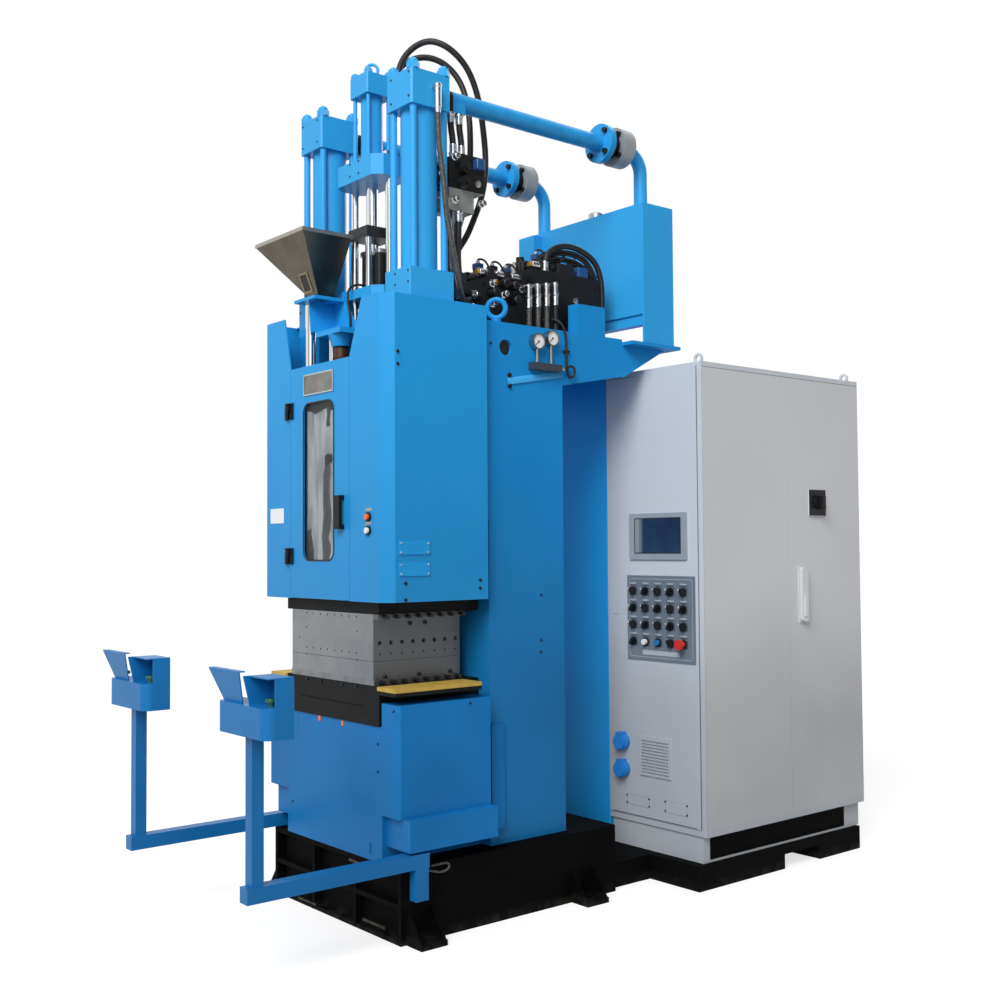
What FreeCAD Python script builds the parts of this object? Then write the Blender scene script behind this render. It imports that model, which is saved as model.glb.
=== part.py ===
"""Vertical C-frame injection moulding machine with its control cabinet.

Millimetres, +Z up, the injection axis stands at X = 0, Y = 0 on the floor (Z = 0).
The operator stands on the -Y side; +X is to the operator's right.
"""
import FreeCAD, Part
import math
import os

V = FreeCAD.Vector
os.makedirs("parts", exist_ok=True)

# ------------------------------------------------------------------ driving dimensions
# base skid and its feet
base_width = 870.0
base_front = -178.0
base_rear = 850.0
base_height = 260.0
base_deck = 20.0
base_recess = 32.0
base_rib = 16.0
foot_reach = 90.0
foot_length = 110.0
foot_plate = 20.0
foot_gusset_height = 112.0
foot_gusset_thick = 10.0
foot_hole = 26.0
front_foot_y = -100.0
rear_foot_y = 670.0

# C-frame
frame_width = 762.0
throat_back = 262.0
column_rear = 637.0
column_top = 1994.0
frame_rear = 973.0
frame_rear_low = 2056.0
frame_top = 2210.0
jaw_front = -97.0
jaw_bottom = 1600.0
jaw_slot = 464.0
haunch_size = 140.0
haunch_gap = 6.0
side_hole = 60.0
side_hole_depth = 60.0
side_hole_y = 349.0
side_hole_z = 2115.0

# lower housing, side covers and table
housing_width = 656.0
housing_front = -182.0
sheet = 4.0
table_bottom = 733.0
table_top = 874.0
table_setback = 8.0
table_front = -187.0
table_rear = 255.0
wing_front = -196.0
wing_rear = 181.0
board_thick = 14.0
cover_step_left = 35.0
skirt_step_right = 40.0
cover_rear = 221.0
cover_top = 816.0
skirt_clear = 9.0
skirt_height = 108.0
skirt_front = -165.0
side_plate_thick = 10.0
side_plate_rear = 324.0
side_plate_top = 705.0

# mould and heating plates
mould_width = 568.0
mould_rear = 197.0
heat_plate_width = 580.0
heat_plate = 22.0
lower_mould_height = 179.0
upper_mould_height = 28.0
heat_strip_reach = 31.0
terminal_count = 8
terminal_end_margin = 14.0
terminal_dia = 15.0
terminal_length = 24.0
first_terminal_y = -160.0
side_bore = 16.0
small_bore = 7.0
bore_depth = 22.0
side_bore_z = 1022.0
small_bore_z = 983.0
front_bore_pitch = 50.0

# upper platen and clamp rods
platen_height = 115.0
clamp_offset = 310.0
clamp_rod = 60.0
piston_height = 60.0
piston_z = 2480.0
running_gap = 0.5

# clamp cylinders on top of the jaws
block_width = 160.0
block_depth = 194.0
block_height = 154.0
barrel_outer = 134.0
barrel_inner = 100.0
barrel_length = 591.0
cap_depth = 176.0
cap_height = 130.0
cap_chamfer = 6.0
tie_rod = 26.0
tie_spread_x = 62.0
tie_spread_y = 68.0
dome_nut = 42.0
dome_nut_height = 40.0

# injection unit
crosshead_half = 150.0
crosshead_chamfer = 34.0
crosshead_depth = 162.0
crosshead_low = 2761.0
crosshead_thick = 79.0
carrier_low = 2308.0
carrier_thick = 35.0
column_dia = 34.0
column_offset = 120.0
column_nut = 46.0
column_nut_height = 20.0
inject_cap = 122.0
inject_cap_height = 80.0
port_block_left = 12.0
port_block_right = 78.0
port_block_depth = 42.0
port_block_low = 2.0
port_block_high = 34.0
inject_barrel = 84.0
inject_bore = 60.0
inject_length = 257.0
inject_tie = 16.0
inject_tie_spread = 46.0
inject_nut = 28.0
inject_nut_height = 22.0
plunger_plate_low = 2542.0
plunger_plate_thick = 41.0
plunger_plate_size = 132.0
plunger_rod = 46.0
plunger_rod_clear = 137.0
plunger_dia = 30.0
plunger_low = 2150.0
guide_pin = 26.0
guide_pin_low = 2160.0
guide_pin_offset = 48.0
shot_barrel = 90.0
shot_bore_low = 1900.0
shot_flange = 130.0
shot_flange_thick = 25.0
feed_body = 78.0
feed_body_height = 150.0
feed_collar = 92.0
feed_collar_height = 14.0
motor_left = 66.0
motor_right = 98.0
motor_front = -34.0
motor_back = 40.0
motor_height = 150.0
feed_barrel = 52.0
feed_bore = 34.0
feed_x = -8.0
feed_y = -136.0
feed_low = 1900.0
feed_cone = 98.0
feed_cone_low = 66.0
feed_cone_height = 44.0

# hopper and its bracket
hopper_left = -366.0
hopper_right = -6.0
hopper_front = -301.0
hopper_back = -90.0
hopper_height = 225.0
hopper_wall = 3.0
hopper_lip = 14.0
hopper_lip_out = 4.0
outlet_left = -120.0
outlet_front = -208.0
outlet_size = 67.0
shelf_left = -200.0
shelf_right = -47.0
shelf_front = -228.0
shelf_back = -87.0
shelf_top = 2314.0
shelf_thick = 12.0
post_dia = 40.0
post_x = -160.0
post_y = -178.0
small_post_dia = 28.0
small_post_x = -91.0
small_post_y = -123.0
ring_plate_left = -112.0
ring_plate_right = 60.0
ring_plate_front = -184.0
ring_plate_low = 2164.0
ring_plate_thick = 20.0
cable = 9.0

# upper cover with door
hood_width = 832.0
hood_front = -226.0
hood_corner_x = 32.0
hood_corner_y = 44.0
hood_rear = 230.0
hood_low = 1170.0
hood_top = 2253.0
hood_sheet = 5.0
door_left = -228.0
door_right = 190.0
door_top = 2050.0
door_thick = 22.0
door_gap = 2.0
door_skin = 4.0
notch_left_top = -275.0
notch_right_top = 272.0
window_left = -131.0
window_right = 84.0
window_low = 1316.0
window_high = 1906.0
window_radius = 38.0
window_lap = 6.0
pane_thick = 5.0
hinge_low_z = 1330.0
hinge_high_z = 1888.0
hinge_height = 62.0
hinge_leaf = 30.0
hinge_thick = 6.0
hinge_pin = 12.0
hinge_web = 4.0
pull_x = 139.0
pull_z = 1490.0
pull_length = 122.0
pull_width = 36.0
pull_reach = 24.0
cover_button = 22.0
cover_button_x = 315.0
orange_z = 1469.0
white_z = 1421.0
button_reach = 14.0
bezel_width = 6.0
bezel_height = 6.0

# prefill pipes, tank and its bracket
prefill_rise = 79.0
prefill_pipe = 68.0
flange_dia = 160.0
flange_front = 917.0
flange_thick = 28.0
neck_length = 52.0
neck_dia = 96.0
pad_left = 290.0
pad_right = 344.0
pad_front = 108.0
pad_rear = 192.0
pad_drop = 54.0
rear_flange_thick = 63.0
tank_pipe = 58.0
elbow_radius = 88.0
drop_y = 1165.0
flange_bolt_circle = 124.0
bolt_head = 22.0
bolt_head_height = 14.0
tank_left = -360.0
tank_right = 431.0
tank_front = 1053.0
tank_rear = 1231.0
tank_low = 2320.0
tank_high = 2784.0
tank_rail = 43.0
tank_end = 10.0
tank_box_left = -300.0
tank_box_right = -197.0
tank_box_front = 999.0
tank_box_low = 2420.0
tank_box_high = 2765.0
bracket_z = 2199.0
bracket_thick = 14.0
bracket_right = 440.0
bracket_rear = 1262.0
bracket_gusset = 135.0
breather_x = 60.0
breather_dia = 68.0
breather_height = 46.0

# power pack cover behind the column, beside the cabinet
pack_left = -381.0
pack_right = 128.0
pack_rear = 1900.0
pack_high = 2095.0
pack_louvre_count = 14
pack_louvre_pitch = 40.0
pack_louvre_height = 9.0
pack_louvre_length = 420.0
pack_louvre_low = 300.0

# valve manifold on the frame's top
manifold_left = -150.0
manifold_right = 290.0
manifold_front = 330.0
manifold_rear = 560.0
manifold_height = 190.0
tower_left = 40.0
tower_right = 295.0
tower_front = 560.0
tower_rear = 935.0
tower_height = 254.0
guard_box_left = 328.0
guard_box_front = 721.0
guard_box_rear = 876.0
guard_box_height = 118.0
valve_count = 3
valve_pitch = 72.0
valve_first_y = 372.0
valve_body_length = 150.0
valve_body_width = 46.0
valve_body_height = 46.0
tower_valve_count = 3
tower_valve_pitch = 104.0
tower_valve_first_y = 640.0
coil_dia = 44.0
coil_length = 74.0
plug_size = 28.0
rear_block_left = 262.0
rear_block_right = 366.0
rear_block_front = 96.0
rear_block_rear = 264.0
rear_plate_rear = 212.0
rear_block_low = 2604.0
rear_block_mid = 2686.0
rear_block_high = 2822.0
arch_front = 645.0
gauge_line_y = 652.0
port_y = 14.0
port_rise = 75.0
elbow_count = 4
elbow_pitch = 46.0
elbow_first_y = 500.0
elbow_dia = 22.0
elbow_x = 344.0
elbow_z = 2372.0
elbow_step_z = 9.0
lift_ring = 90.0
lift_ring_bar = 20.0
lift_ring_y = 330.0
lift_ring_x = 350.0

# pressure gauges
gauge_dia = 62.0
gauge_depth = 26.0
gauge_gap = 4.0
gauge_y = 494.0
gauge_z = 2150.0
gauge_step_y = 72.0
gauge_step_z = 19.0
gauge_block_front = 462.0
gauge_block_rear = 612.0
gauge_block_low = 2040.0
gauge_block_height = 28.0
gauge_block_depth = 30.0
needle_length = 22.0
needle_width = 3.0
needle_thick = 1.2

# two-hand console
arm_outset = 12.0
arm_size = 50.0
arm_front = -776.0
arm_rear = -82.0
stub_reach = 37.0
stub_front = -140.0
stub_depth = 54.0
stub_low = 150.0
console_post = 42.0
console_post_y = -738.0
box_width = 325.0
box_front = -790.0
box_depth = 100.0
box_low = 780.0
box_height = 97.0
box_radius = 35.0
visor_width = 132.0
visor_height = 91.0
visor_sheet = 4.0
shield_bottom = 122.0
shield_top = 206.0
shield_height = 100.0
shield_lean = 24.0
shield_from_left = 36.0
palm_dia = 40.0
palm_stem = 22.0
palm_rise = 26.0
palm_travel = 5.0
start_from_right = 52.0
stop_from_left = 34.0

# control cabinet
cab_left = 133.0
cab_right = 672.0
cab_front = 1124.0
cab_rear = 2187.0
cab_low = 205.0
cab_high = 2100.0
cab_wall = 20.0
cab_post = 26.0
cab_sill = 27.0
cab_base_height = 99.0
cab_base_front = 1083.0
cab_base_rear = 2160.0
cab_base_left = -400.0
cab_base_right = 665.0
plinth_inset = 8.0
fork_front = 1622.0
fork_rear = 1865.0
fork_height = 60.0
link_left = -300.0
link_right = 400.0
door_split = 1671.0
cab_door = 22.0
cab_gap = 2.0
panel_thick = 4.0
eye_outer = 44.0
eye_hole = 24.0
eye_thick = 10.0
eye_inset = 42.0

# operator's controls on the cabinet
hmi_left = 273.0
hmi_right = 593.0
hmi_low = 1303.0
hmi_high = 1496.0
hmi_depth = 8.0
screen_margin = 28.0
screen_sink = 2.0
board_left = 254.0
board_right = 631.0
board_low = 885.0
board_high = 1237.0
knob_columns = 5
knob_rows = 4
knob_pitch = 70.0
knob_first_x = 290.0
knob_first_z = 1172.0
knob_dia = 34.0
knob_base = 6.0
knob_grip = 16.0
knob_grip_width = 10.0
push_dia = 24.0
push_reach = 12.0
stop_dia = 42.0
stop_reach = 30.0
grille_left = 317.0
grille_right = 489.0
grille_low = 408.0
grille_high = 570.0
grille_depth = 6.0
slot_count = 11
slot_height = 6.0
socket_x = 222.0
socket_low_z = 420.0
socket_step = 114.0
socket_dia = 70.0
socket_depth = 30.0
switch_y = 1868.0
switch_z = 1544.0
switch_plate = 112.0
switch_plate_thick = 10.0
switch_knob = 62.0
switch_knob_depth = 34.0
lever_y = 1757.0
lever_high = 1265.0
lever_length = 233.0
lever_width = 40.0
lever_thick = 16.0
lever_plate = 4.0

# hydraulic hoses
hose_large = 24.0
hose_small = 20.0
hose_thin = 10.0

# ------------------------------------------------------------------ derived levels
mould_front = table_front
table_width = housing_width - 2 * table_setback
wing_span = base_width
cover_outer_right = base_width / 2
cover_outer_left = base_width / 2 + cover_step_left
skirt_outer_right = base_width / 2 + skirt_step_right
skirt_outer_left = base_width / 2
frame_half = frame_width / 2
frame_side = frame_half
block_top = frame_top + block_height
barrel_top = block_top + barrel_length
cap_top = barrel_top + cap_height
prefill_z = barrel_top + prefill_rise
pad_low = prefill_z - pad_drop
port_z = barrel_top + port_rise
lower_plate_top = table_top + heat_plate
parting_z = lower_plate_top + lower_mould_height
upper_half_top = parting_z + upper_mould_height
strip_top = upper_half_top + heat_plate
platen_top = strip_top + platen_height
carrier_top = carrier_low + carrier_thick
crosshead_top = crosshead_low + crosshead_thick
inject_cap_low = crosshead_top + inject_length
inject_cap_top = inject_cap_low + inject_cap_height
hopper_low = shelf_top
rear_flange_front = flange_front + flange_thick + neck_length
rear_flange_back = rear_flange_front + rear_flange_thick
arm_low = base_height
arm_top = arm_low + arm_size
arm_x = base_width / 2 + arm_outset
terminal_pitch = (mould_rear - 7 - terminal_end_margin - first_terminal_y) / (terminal_count - 1)
plunger_rod_top = inject_cap_low - plunger_rod_clear
skirt_low = arm_top + skirt_clear
cover_low = skirt_low + skirt_height
box_top = box_low + box_height
box_centre_y = box_front + box_depth / 2
port_x = clamp_offset + block_width / 2 + 20
hinge_x = door_left - door_gap - hinge_pin / 2
hinge_y = hood_front - hinge_thick - hinge_pin / 2 - running_gap


# ------------------------------------------------------------------ shape helpers
def block(x0, x1, y0, y1, z0, z1):
    """Box between two corners."""
    return Part.makeBox(x1 - x0, y1 - y0, z1 - z0, V(x0, y0, z0))


def rod_x(x0, x1, y, z, dia):
    """Round bar along X."""
    return Part.makeCylinder(dia / 2, x1 - x0, V(x0, y, z), V(1, 0, 0))


def rod_y(x, y0, y1, z, dia):
    """Round bar along Y."""
    return Part.makeCylinder(dia / 2, y1 - y0, V(x, y0, z), V(0, 1, 0))


def rod_z(x, y, z0, z1, dia):
    """Round bar along Z."""
    return Part.makeCylinder(dia / 2, z1 - z0, V(x, y, z0), V(0, 0, 1))


def plate_xy(points, z0, z1):
    """Flat outline in plan, raised from z0 to z1."""
    wire = Part.makePolygon([V(x, y, z0) for x, y in points + points[:1]])
    return Part.Face(wire).extrude(V(0, 0, z1 - z0))


def plate_xz(points, y0, y1):
    """Flat outline seen from the front, carried from y0 to y1."""
    wire = Part.makePolygon([V(x, y0, z) for x, z in points + points[:1]])
    return Part.Face(wire).extrude(V(0, y1 - y0, 0))


def plate_yz(points, x0, x1):
    """Flat outline seen from the side, carried from x0 to x1."""
    wire = Part.makePolygon([V(x0, y, z) for y, z in points + points[:1]])
    return Part.Face(wire).extrude(V(x1 - x0, 0, 0))


def hex_z(x, y, z0, z1, across):
    """Hexagonal nut body along Z."""
    radius = across / math.sqrt(3)
    corners = [(x + radius * math.cos(math.radians(60 * k)), y + radius * math.sin(math.radians(60 * k)))
               for k in range(6)]
    return plate_xy(corners, z0, z1)


def dome_nut_on(x, y, z, across, height):
    """Cap nut: hexagon below, dome above."""
    hexagon = hex_z(x, y, z, z + height * 0.55, across)
    dome_radius = across * 0.46
    dome = Part.makeCylinder(dome_radius, height * 0.2, V(x, y, z + height * 0.55))
    cone = Part.makeCone(dome_radius, dome_radius * 0.45, height * 0.25, V(x, y, z + height * 0.75))
    return hexagon.fuse(dome).fuse(cone).removeSplitter()


def vertical_edges(shape, x_test, y_test):
    """Vertical edges of a shape whose place passes the two tests."""
    chosen = []
    for edge in shape.Edges:
        a, b = edge.Vertexes[0].Point, edge.Vertexes[-1].Point
        upright = abs(a.x - b.x) < 0.01 and abs(a.y - b.y) < 0.01 and abs(a.z - b.z) > 1.0
        if upright and x_test(a.x) and y_test(a.y):
            chosen.append(edge)
    return chosen


def fuse_all(shapes):
    """One solid from touching shapes."""
    return shapes[0].multiFuse(shapes[1:]).removeSplitter()


def mirrored(shape):
    """The same shape on the other side of the centre plane X = 0."""
    return shape.mirror(V(0, 0, 0), V(1, 0, 0))


def hose(points, dia):
    """Tube of straight runs joined by tangent arcs; prints the arcs' radii."""
    places = [V(*p) for p in points]
    edges = []
    radii = []
    start = places[0]
    for before, corner, after in zip(places, places[1:], places[2:]):
        run_in = corner.sub(before)
        run_out = after.sub(corner)
        half_turn = run_in.getAngle(run_out) / 2
        reach = 0.45 * min(run_in.Length, run_out.Length)
        radii.append(reach / math.tan(half_turn))
        in_dir = V(run_in).normalize()
        out_dir = V(run_out).normalize()
        first = corner.sub(V(in_dir).multiply(reach))
        last = corner.add(V(out_dir).multiply(reach))
        inward = V(out_dir).sub(in_dir).normalize()
        centre = corner.add(V(inward).multiply(radii[-1] / math.cos(half_turn)))
        middle = centre.sub(V(inward).multiply(radii[-1]))
        edges.append(Part.LineSegment(start, first).toShape())
        edges.append(Part.Arc(first, middle, last).toShape())
        start = last
    edges.append(Part.LineSegment(start, places[-1]).toShape())
    path = Part.Wire(edges)
    ring = Part.makeCircle(dia / 2, places[0], places[1].sub(places[0]))
    tube = path.makePipeShell([Part.Wire([ring])], True, False)
    expected = math.pi * dia * dia / 4 * path.Length
    print("  hose", dia, "radii", [round(r) for r in radii], "length", round(path.Length),
          "volume ratio", round(tube.Volume / expected, 3))
    return tube


def save(name, shapes):
    """Write one node; a list is a group of separate solids."""
    shape = shapes if not isinstance(shapes, list) else Part.makeCompound(shapes)
    bad = [s for s in shape.Solids if not s.isValid() or s.Volume <= 0]
    print(name, "solids", len(shape.Solids), "faces", len(shape.Faces), "BAD" if bad or not shape.Solids else "")
    shape.exportStep("parts/" + name + ".step")


# ------------------------------------------------------------------ base skid
def base_foot(y_centre):
    """Outrigger foot: floor plate with a bolt hole and two gussets."""
    x0 = base_width / 2
    y0 = y_centre - foot_length / 2
    y1 = y_centre + foot_length / 2
    plate = block(x0, x0 + foot_reach, y0, y1, 0, foot_plate)
    plate = plate.cut(rod_z(x0 + foot_reach * 0.6, y_centre, 0, foot_plate, foot_hole))
    profile = [(x0, foot_plate), (x0 + foot_reach - 8, foot_plate), (x0 + 14, foot_gusset_height),
               (x0, foot_gusset_height)]
    near = plate_xz(profile, y0, y0 + foot_gusset_thick)
    far = plate_xz(profile, y1 - foot_gusset_thick, y1)
    return fuse_all([plate, near, far])


def build_base():
    """Welded skid: deck, mid rib and floor plate around a recessed core, with four feet."""
    half = base_width / 2
    core = block(-half + base_recess, half - base_recess, base_front + base_recess, base_rear, 0, base_height)
    pieces = [core, block(-half, half, base_front, base_rear, base_height - base_deck, base_height)]
    middle = base_height / 2
    for z in (0.0, middle - base_rib / 2):
        pieces.append(block(-half, half, base_front, base_rear, z, z + base_rib))
    for x in (-half, half - base_rib):
        pieces.append(block(x, x + base_rib, base_front, base_rear, 0, base_height))
    upright_pitch = (base_width - base_rib) / 3
    for k in (1, 2):
        x = -half + k * upright_pitch
        pieces.append(block(x, x + base_rib, base_front, base_front + base_recess, 0, base_height))
    feet = [base_foot(y) for y in (front_foot_y, rear_foot_y)]
    return [fuse_all(pieces)] + feet + [mirrored(foot) for foot in feet]


# ------------------------------------------------------------------ C-frame
def build_frame():
    """C-frame of welded pieces: bed, column, overhang, two jaw cheeks and the tank bracket."""
    bed_half = housing_width / 2 - sheet
    bed = block(-bed_half, bed_half, housing_front + sheet, throat_back, base_height, table_bottom)
    column = block(-frame_half, frame_half, throat_back, column_rear, base_height, column_top)
    head = block(-frame_half, frame_half, throat_back, column_rear, column_top, frame_top)
    for side in (-1, 1):
        x0, x1 = sorted((side * frame_half, side * (frame_half - side_hole_depth)))
        head = head.cut(rod_x(x0, x1, side_hole_y, side_hole_z, side_hole))
    overhang = plate_yz([(column_rear, column_top), (frame_rear, frame_rear_low), (frame_rear, frame_top),
                         (column_rear, frame_top)], -frame_half, frame_half)
    cheek = block(jaw_slot / 2, frame_half, jaw_front, throat_back, jaw_bottom, frame_top)
    cheek = cheek.cut(rod_z(clamp_offset, 0, jaw_bottom, frame_top, clamp_rod + 2 * running_gap))
    haunch = plate_yz([(throat_back, jaw_bottom - haunch_size), (throat_back, jaw_bottom),
                       (throat_back - haunch_size, jaw_bottom)], table_width / 2 + haunch_gap, frame_half)
    shelf = block(-frame_half, bracket_right, frame_rear, bracket_rear, bracket_z - bracket_thick, bracket_z)
    pieces = [bed, column, head, overhang, cheek, mirrored(cheek), haunch, mirrored(haunch), shelf]
    gusset = [(frame_rear, bracket_z - bracket_thick), (bracket_rear - 40, bracket_z - bracket_thick),
              (frame_rear, bracket_z - bracket_thick - bracket_gusset)]
    for x in (-frame_half, -sheet, frame_half - 2 * sheet):
        pieces.append(plate_yz(gusset, x, x + 2 * sheet))
    return pieces


def build_lift_ring():
    """Eye bolt on the frame's top."""
    centre_z = frame_top + lift_ring / 2
    ring = Part.makeTorus((lift_ring - lift_ring_bar) / 2, lift_ring_bar / 2,
                          V(lift_ring_x, lift_ring_y, centre_z + lift_ring_bar / 2), V(1, -1, 0))
    foot = rod_z(lift_ring_x, lift_ring_y, frame_top, frame_top + lift_ring_bar * 0.9, lift_ring_bar * 1.8)
    return ring.fuse(foot).removeSplitter()


# ------------------------------------------------------------------ lower body
def build_housing():
    """Folded sheet round the bed, with a cable slot at its right foot."""
    half = housing_width / 2
    outer = block(-half, half, housing_front, throat_back, base_height, table_bottom)
    inner = block(-half + sheet, half - sheet, housing_front + sheet, throat_back, base_height, table_bottom)
    slot_x = half - 70
    slot = fuse_all([block(slot_x - 9, slot_x + 9, housing_front, housing_front + sheet, base_height + 20,
                           base_height + 50),
                     rod_y(slot_x, housing_front, housing_front + sheet, base_height + 50, 18)])
    return outer.cut(inner).cut(slot)


def side_cover(outer, skirt):
    """Closed side cover over a skirt, for the +X side."""
    inner = housing_width / 2
    cover = block(inner, outer, housing_front, cover_rear, cover_low, cover_top)
    edges = vertical_edges(cover, lambda x: x > inner + 1, lambda y: y < housing_front + 1)
    cover = cover.makeFillet(10, edges)
    low = block(inner, skirt, skirt_front, cover_rear, skirt_low, cover_low)
    return fuse_all([cover, low])


def build_side_covers():
    """Right and left covers and the thin plate behind the right one."""
    right = side_cover(cover_outer_right, skirt_outer_right)
    left = mirrored(side_cover(cover_outer_left, skirt_outer_left))
    plate = block(frame_side, frame_side + side_plate_thick, throat_back, side_plate_rear,
                  skirt_low, side_plate_top)
    return [right, left, plate]


def build_table():
    """Fixed lower table with its apron and two wings."""
    half = table_width / 2
    table = block(-half, half, table_front, table_rear, table_bottom, table_top)
    wing_low = table_top - 2 * board_thick
    for side in (-1, 1):
        x0, x1 = sorted((side * half, side * wing_span / 2))
        table = table.fuse(block(x0, x1, wing_front, wing_rear, wing_low, wing_low + board_thick))
    groove = block(-half * 0.7, half * 0.7, table_front, table_front + 3, table_bottom + 62, table_bottom + 66)
    return table.cut(groove).removeSplitter()


def build_boards():
    """Insulating boards lying on the table's wings."""
    boards = []
    for side in (-1, 1):
        x0, x1 = sorted((side * table_width / 2, side * wing_span / 2))
        boards.append(block(x0, x1, wing_front, wing_rear, table_top - board_thick, table_top))
    return boards


def terminals(x_face, z):
    """Row of heater terminals standing out of a plate's right face."""
    shapes = []
    for k in range(terminal_count):
        y = first_terminal_y + k * terminal_pitch
        shapes.append(rod_x(x_face, x_face + terminal_length, y, z, terminal_dia))
    return shapes


def build_lower_heating():
    """Lower heating plate with its terminals."""
    half = heat_plate_width / 2
    plate = block(-half, half, mould_front, mould_rear - 7, table_top, lower_plate_top)
    return fuse_all([plate] + terminals(half, table_top + heat_plate / 2))


def bore_rows(x_side, z_large, z_small):
    """Cutters for the two rows of bores in a mould's side face."""
    cutters = []
    for k in range(terminal_count):
        y = first_terminal_y + k * terminal_pitch
        x0, x1 = sorted((x_side, x_side - math.copysign(bore_depth, x_side)))
        cutters.append(rod_x(x0, x1, y, z_large, side_bore))
        cutters.append(rod_x(x0, x1, y, z_small, small_bore))
    return cutters


def front_row(z, count):
    """Cutters for a row of small bores in the mould's front face."""
    first = -front_bore_pitch * (count - 1) / 2
    return [rod_y(first + k * front_bore_pitch, mould_front, mould_front + bore_depth, z, small_bore)
            for k in range(count)]


def build_lower_mould():
    """Lower mould half with its cross-drilled sides and front."""
    half = mould_width / 2
    body = block(-half, half, mould_front, mould_rear, lower_plate_top, parting_z)
    cutters = bore_rows(half, side_bore_z, small_bore_z) + bore_rows(-half, side_bore_z, small_bore_z)
    cutters += front_row(small_bore_z, 8)
    for x, z in ((-178, 1059), (178, 1060), (-230, 1020), (-175, 957), (180, 959)):
        cutters.append(rod_y(x, mould_front, mould_front + bore_depth, z, small_bore))
    return body.cut(Part.makeCompound(cutters))


def build_upper_mould():
    """Upper mould half with its heating plate, side strip and terminals."""
    half = mould_width / 2
    body = block(-half, half, mould_front, mould_rear, parting_z, strip_top)
    strip = block(half, half + heat_strip_reach, mould_front, mould_rear - 7, upper_half_top + 4, strip_top)
    solid = fuse_all([body, strip] + terminals(half + heat_strip_reach, upper_half_top + heat_plate / 2 + 2))
    return solid.cut(Part.makeCompound(front_row(upper_half_top + 10, 8)))


def build_platen():
    """Moving upper platen with the shot barrel's seat."""
    half = table_width / 2
    platen = block(-half, half, table_front, table_rear, strip_top, platen_top)
    return platen.makeChamfer(4, [e for e in platen.Edges if abs(e.BoundBox.ZMin - e.BoundBox.ZMax) < 0.1
                                  and e.BoundBox.ZMin > platen_top - 1])


# ------------------------------------------------------------------ clamp cylinders
def for_both_cylinders(make):
    """The right and the left copy of a clamp cylinder's piece."""
    right = make()
    return [right, mirrored(right)]


def clamp_block():
    """Foot block of a clamp cylinder with the rod's bore."""
    x0 = clamp_offset - block_width / 2
    body = block(x0, x0 + block_width, -block_depth / 2, block_depth / 2, frame_top, block_top)
    edges = vertical_edges(body, lambda x: True, lambda y: y < 0)
    body = body.makeChamfer(3, edges)
    return body.cut(rod_z(clamp_offset, 0, frame_top, block_top, clamp_rod + 2 * running_gap))


def clamp_barrel():
    """Cylinder barrel, open at both ends between block and cap."""
    tube = rod_z(clamp_offset, 0, block_top, barrel_top, barrel_outer)
    return tube.cut(rod_z(clamp_offset, 0, block_top, barrel_top, barrel_inner))


def tie_places():
    """Corners of the tie-rod rectangle round a clamp cylinder."""
    return [(clamp_offset + sx * tie_spread_x, sy * tie_spread_y) for sx in (-1, 1) for sy in (-1, 1)]


def clamp_cap():
    """Cap with chamfered edges and tie-rod holes."""
    x0 = clamp_offset - block_width / 2
    cap = block(x0, x0 + block_width, -cap_depth / 2, cap_depth / 2, barrel_top, cap_top)
    cap = cap.makeChamfer(cap_chamfer, vertical_edges(cap, lambda x: True, lambda y: True))
    for x, y in tie_places():
        cap = cap.cut(rod_z(x, y, barrel_top, cap_top, tie_rod + 2 * running_gap))
    return cap


def build_tie_rods():
    """Tie rods from block to cap, each with a cap nut."""
    rods = []
    for x, y in tie_places():
        shaft = rod_z(x, y, block_top, cap_top, tie_rod)
        rods.append(fuse_all([shaft, dome_nut_on(x, y, cap_top, dome_nut, dome_nut_height)]))
    return rods + [mirrored(r) for r in rods]


def clamp_rod_shape():
    """Piston rod standing on the platen, with its piston."""
    shaft = rod_z(clamp_offset, 0, platen_top, piston_z + piston_height, clamp_rod)
    piston = rod_z(clamp_offset, 0, piston_z, piston_z + piston_height, barrel_inner - 2 * running_gap)
    return shaft.fuse(piston).removeSplitter()


# ------------------------------------------------------------------ injection unit
def chamfered_plate(z0, z1):
    """Plate with cut corners, the outline shared by crosshead and carrier."""
    a = crosshead_half
    b = crosshead_depth / 2
    c = crosshead_chamfer
    outline = [(-a + c, -b), (a - c, -b), (a, -b + c), (a, b - c), (a - c, b), (-a + c, b), (-a, b - c), (-a, -b + c)]
    return plate_xy(outline, z0, z1)


def column_holes(z0, z1):
    """Cutters for the two columns through a plate."""
    return [rod_z(side * column_offset, 0, z0, z1, column_dia + running_gap) for side in (-1, 1)]


def pin_places():
    """Four guide pins round the injection axis."""
    return [(sx * guide_pin_offset, sy * guide_pin_offset) for sx in (-1, 1) for sy in (-1, 1)]


def build_crosshead():
    """Top crosshead and lower carrier of the injection unit, two plates on the columns."""
    top = chamfered_plate(crosshead_low, crosshead_top)
    top = top.cut(Part.makeCompound(column_holes(crosshead_low, crosshead_top)
                                    + [rod_z(0, 0, crosshead_low, crosshead_top, plunger_rod + 2 * running_gap)]))
    low = chamfered_plate(carrier_low, carrier_top)
    pins = [rod_z(x, y, carrier_low, carrier_top, guide_pin + 2 * running_gap) for x, y in pin_places()]
    low = low.cut(Part.makeCompound(column_holes(carrier_low, carrier_top) + pins
                                    + [rod_z(0, 0, carrier_low, carrier_top, plunger_dia + 2 * running_gap)]))
    return [top, low]


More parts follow.
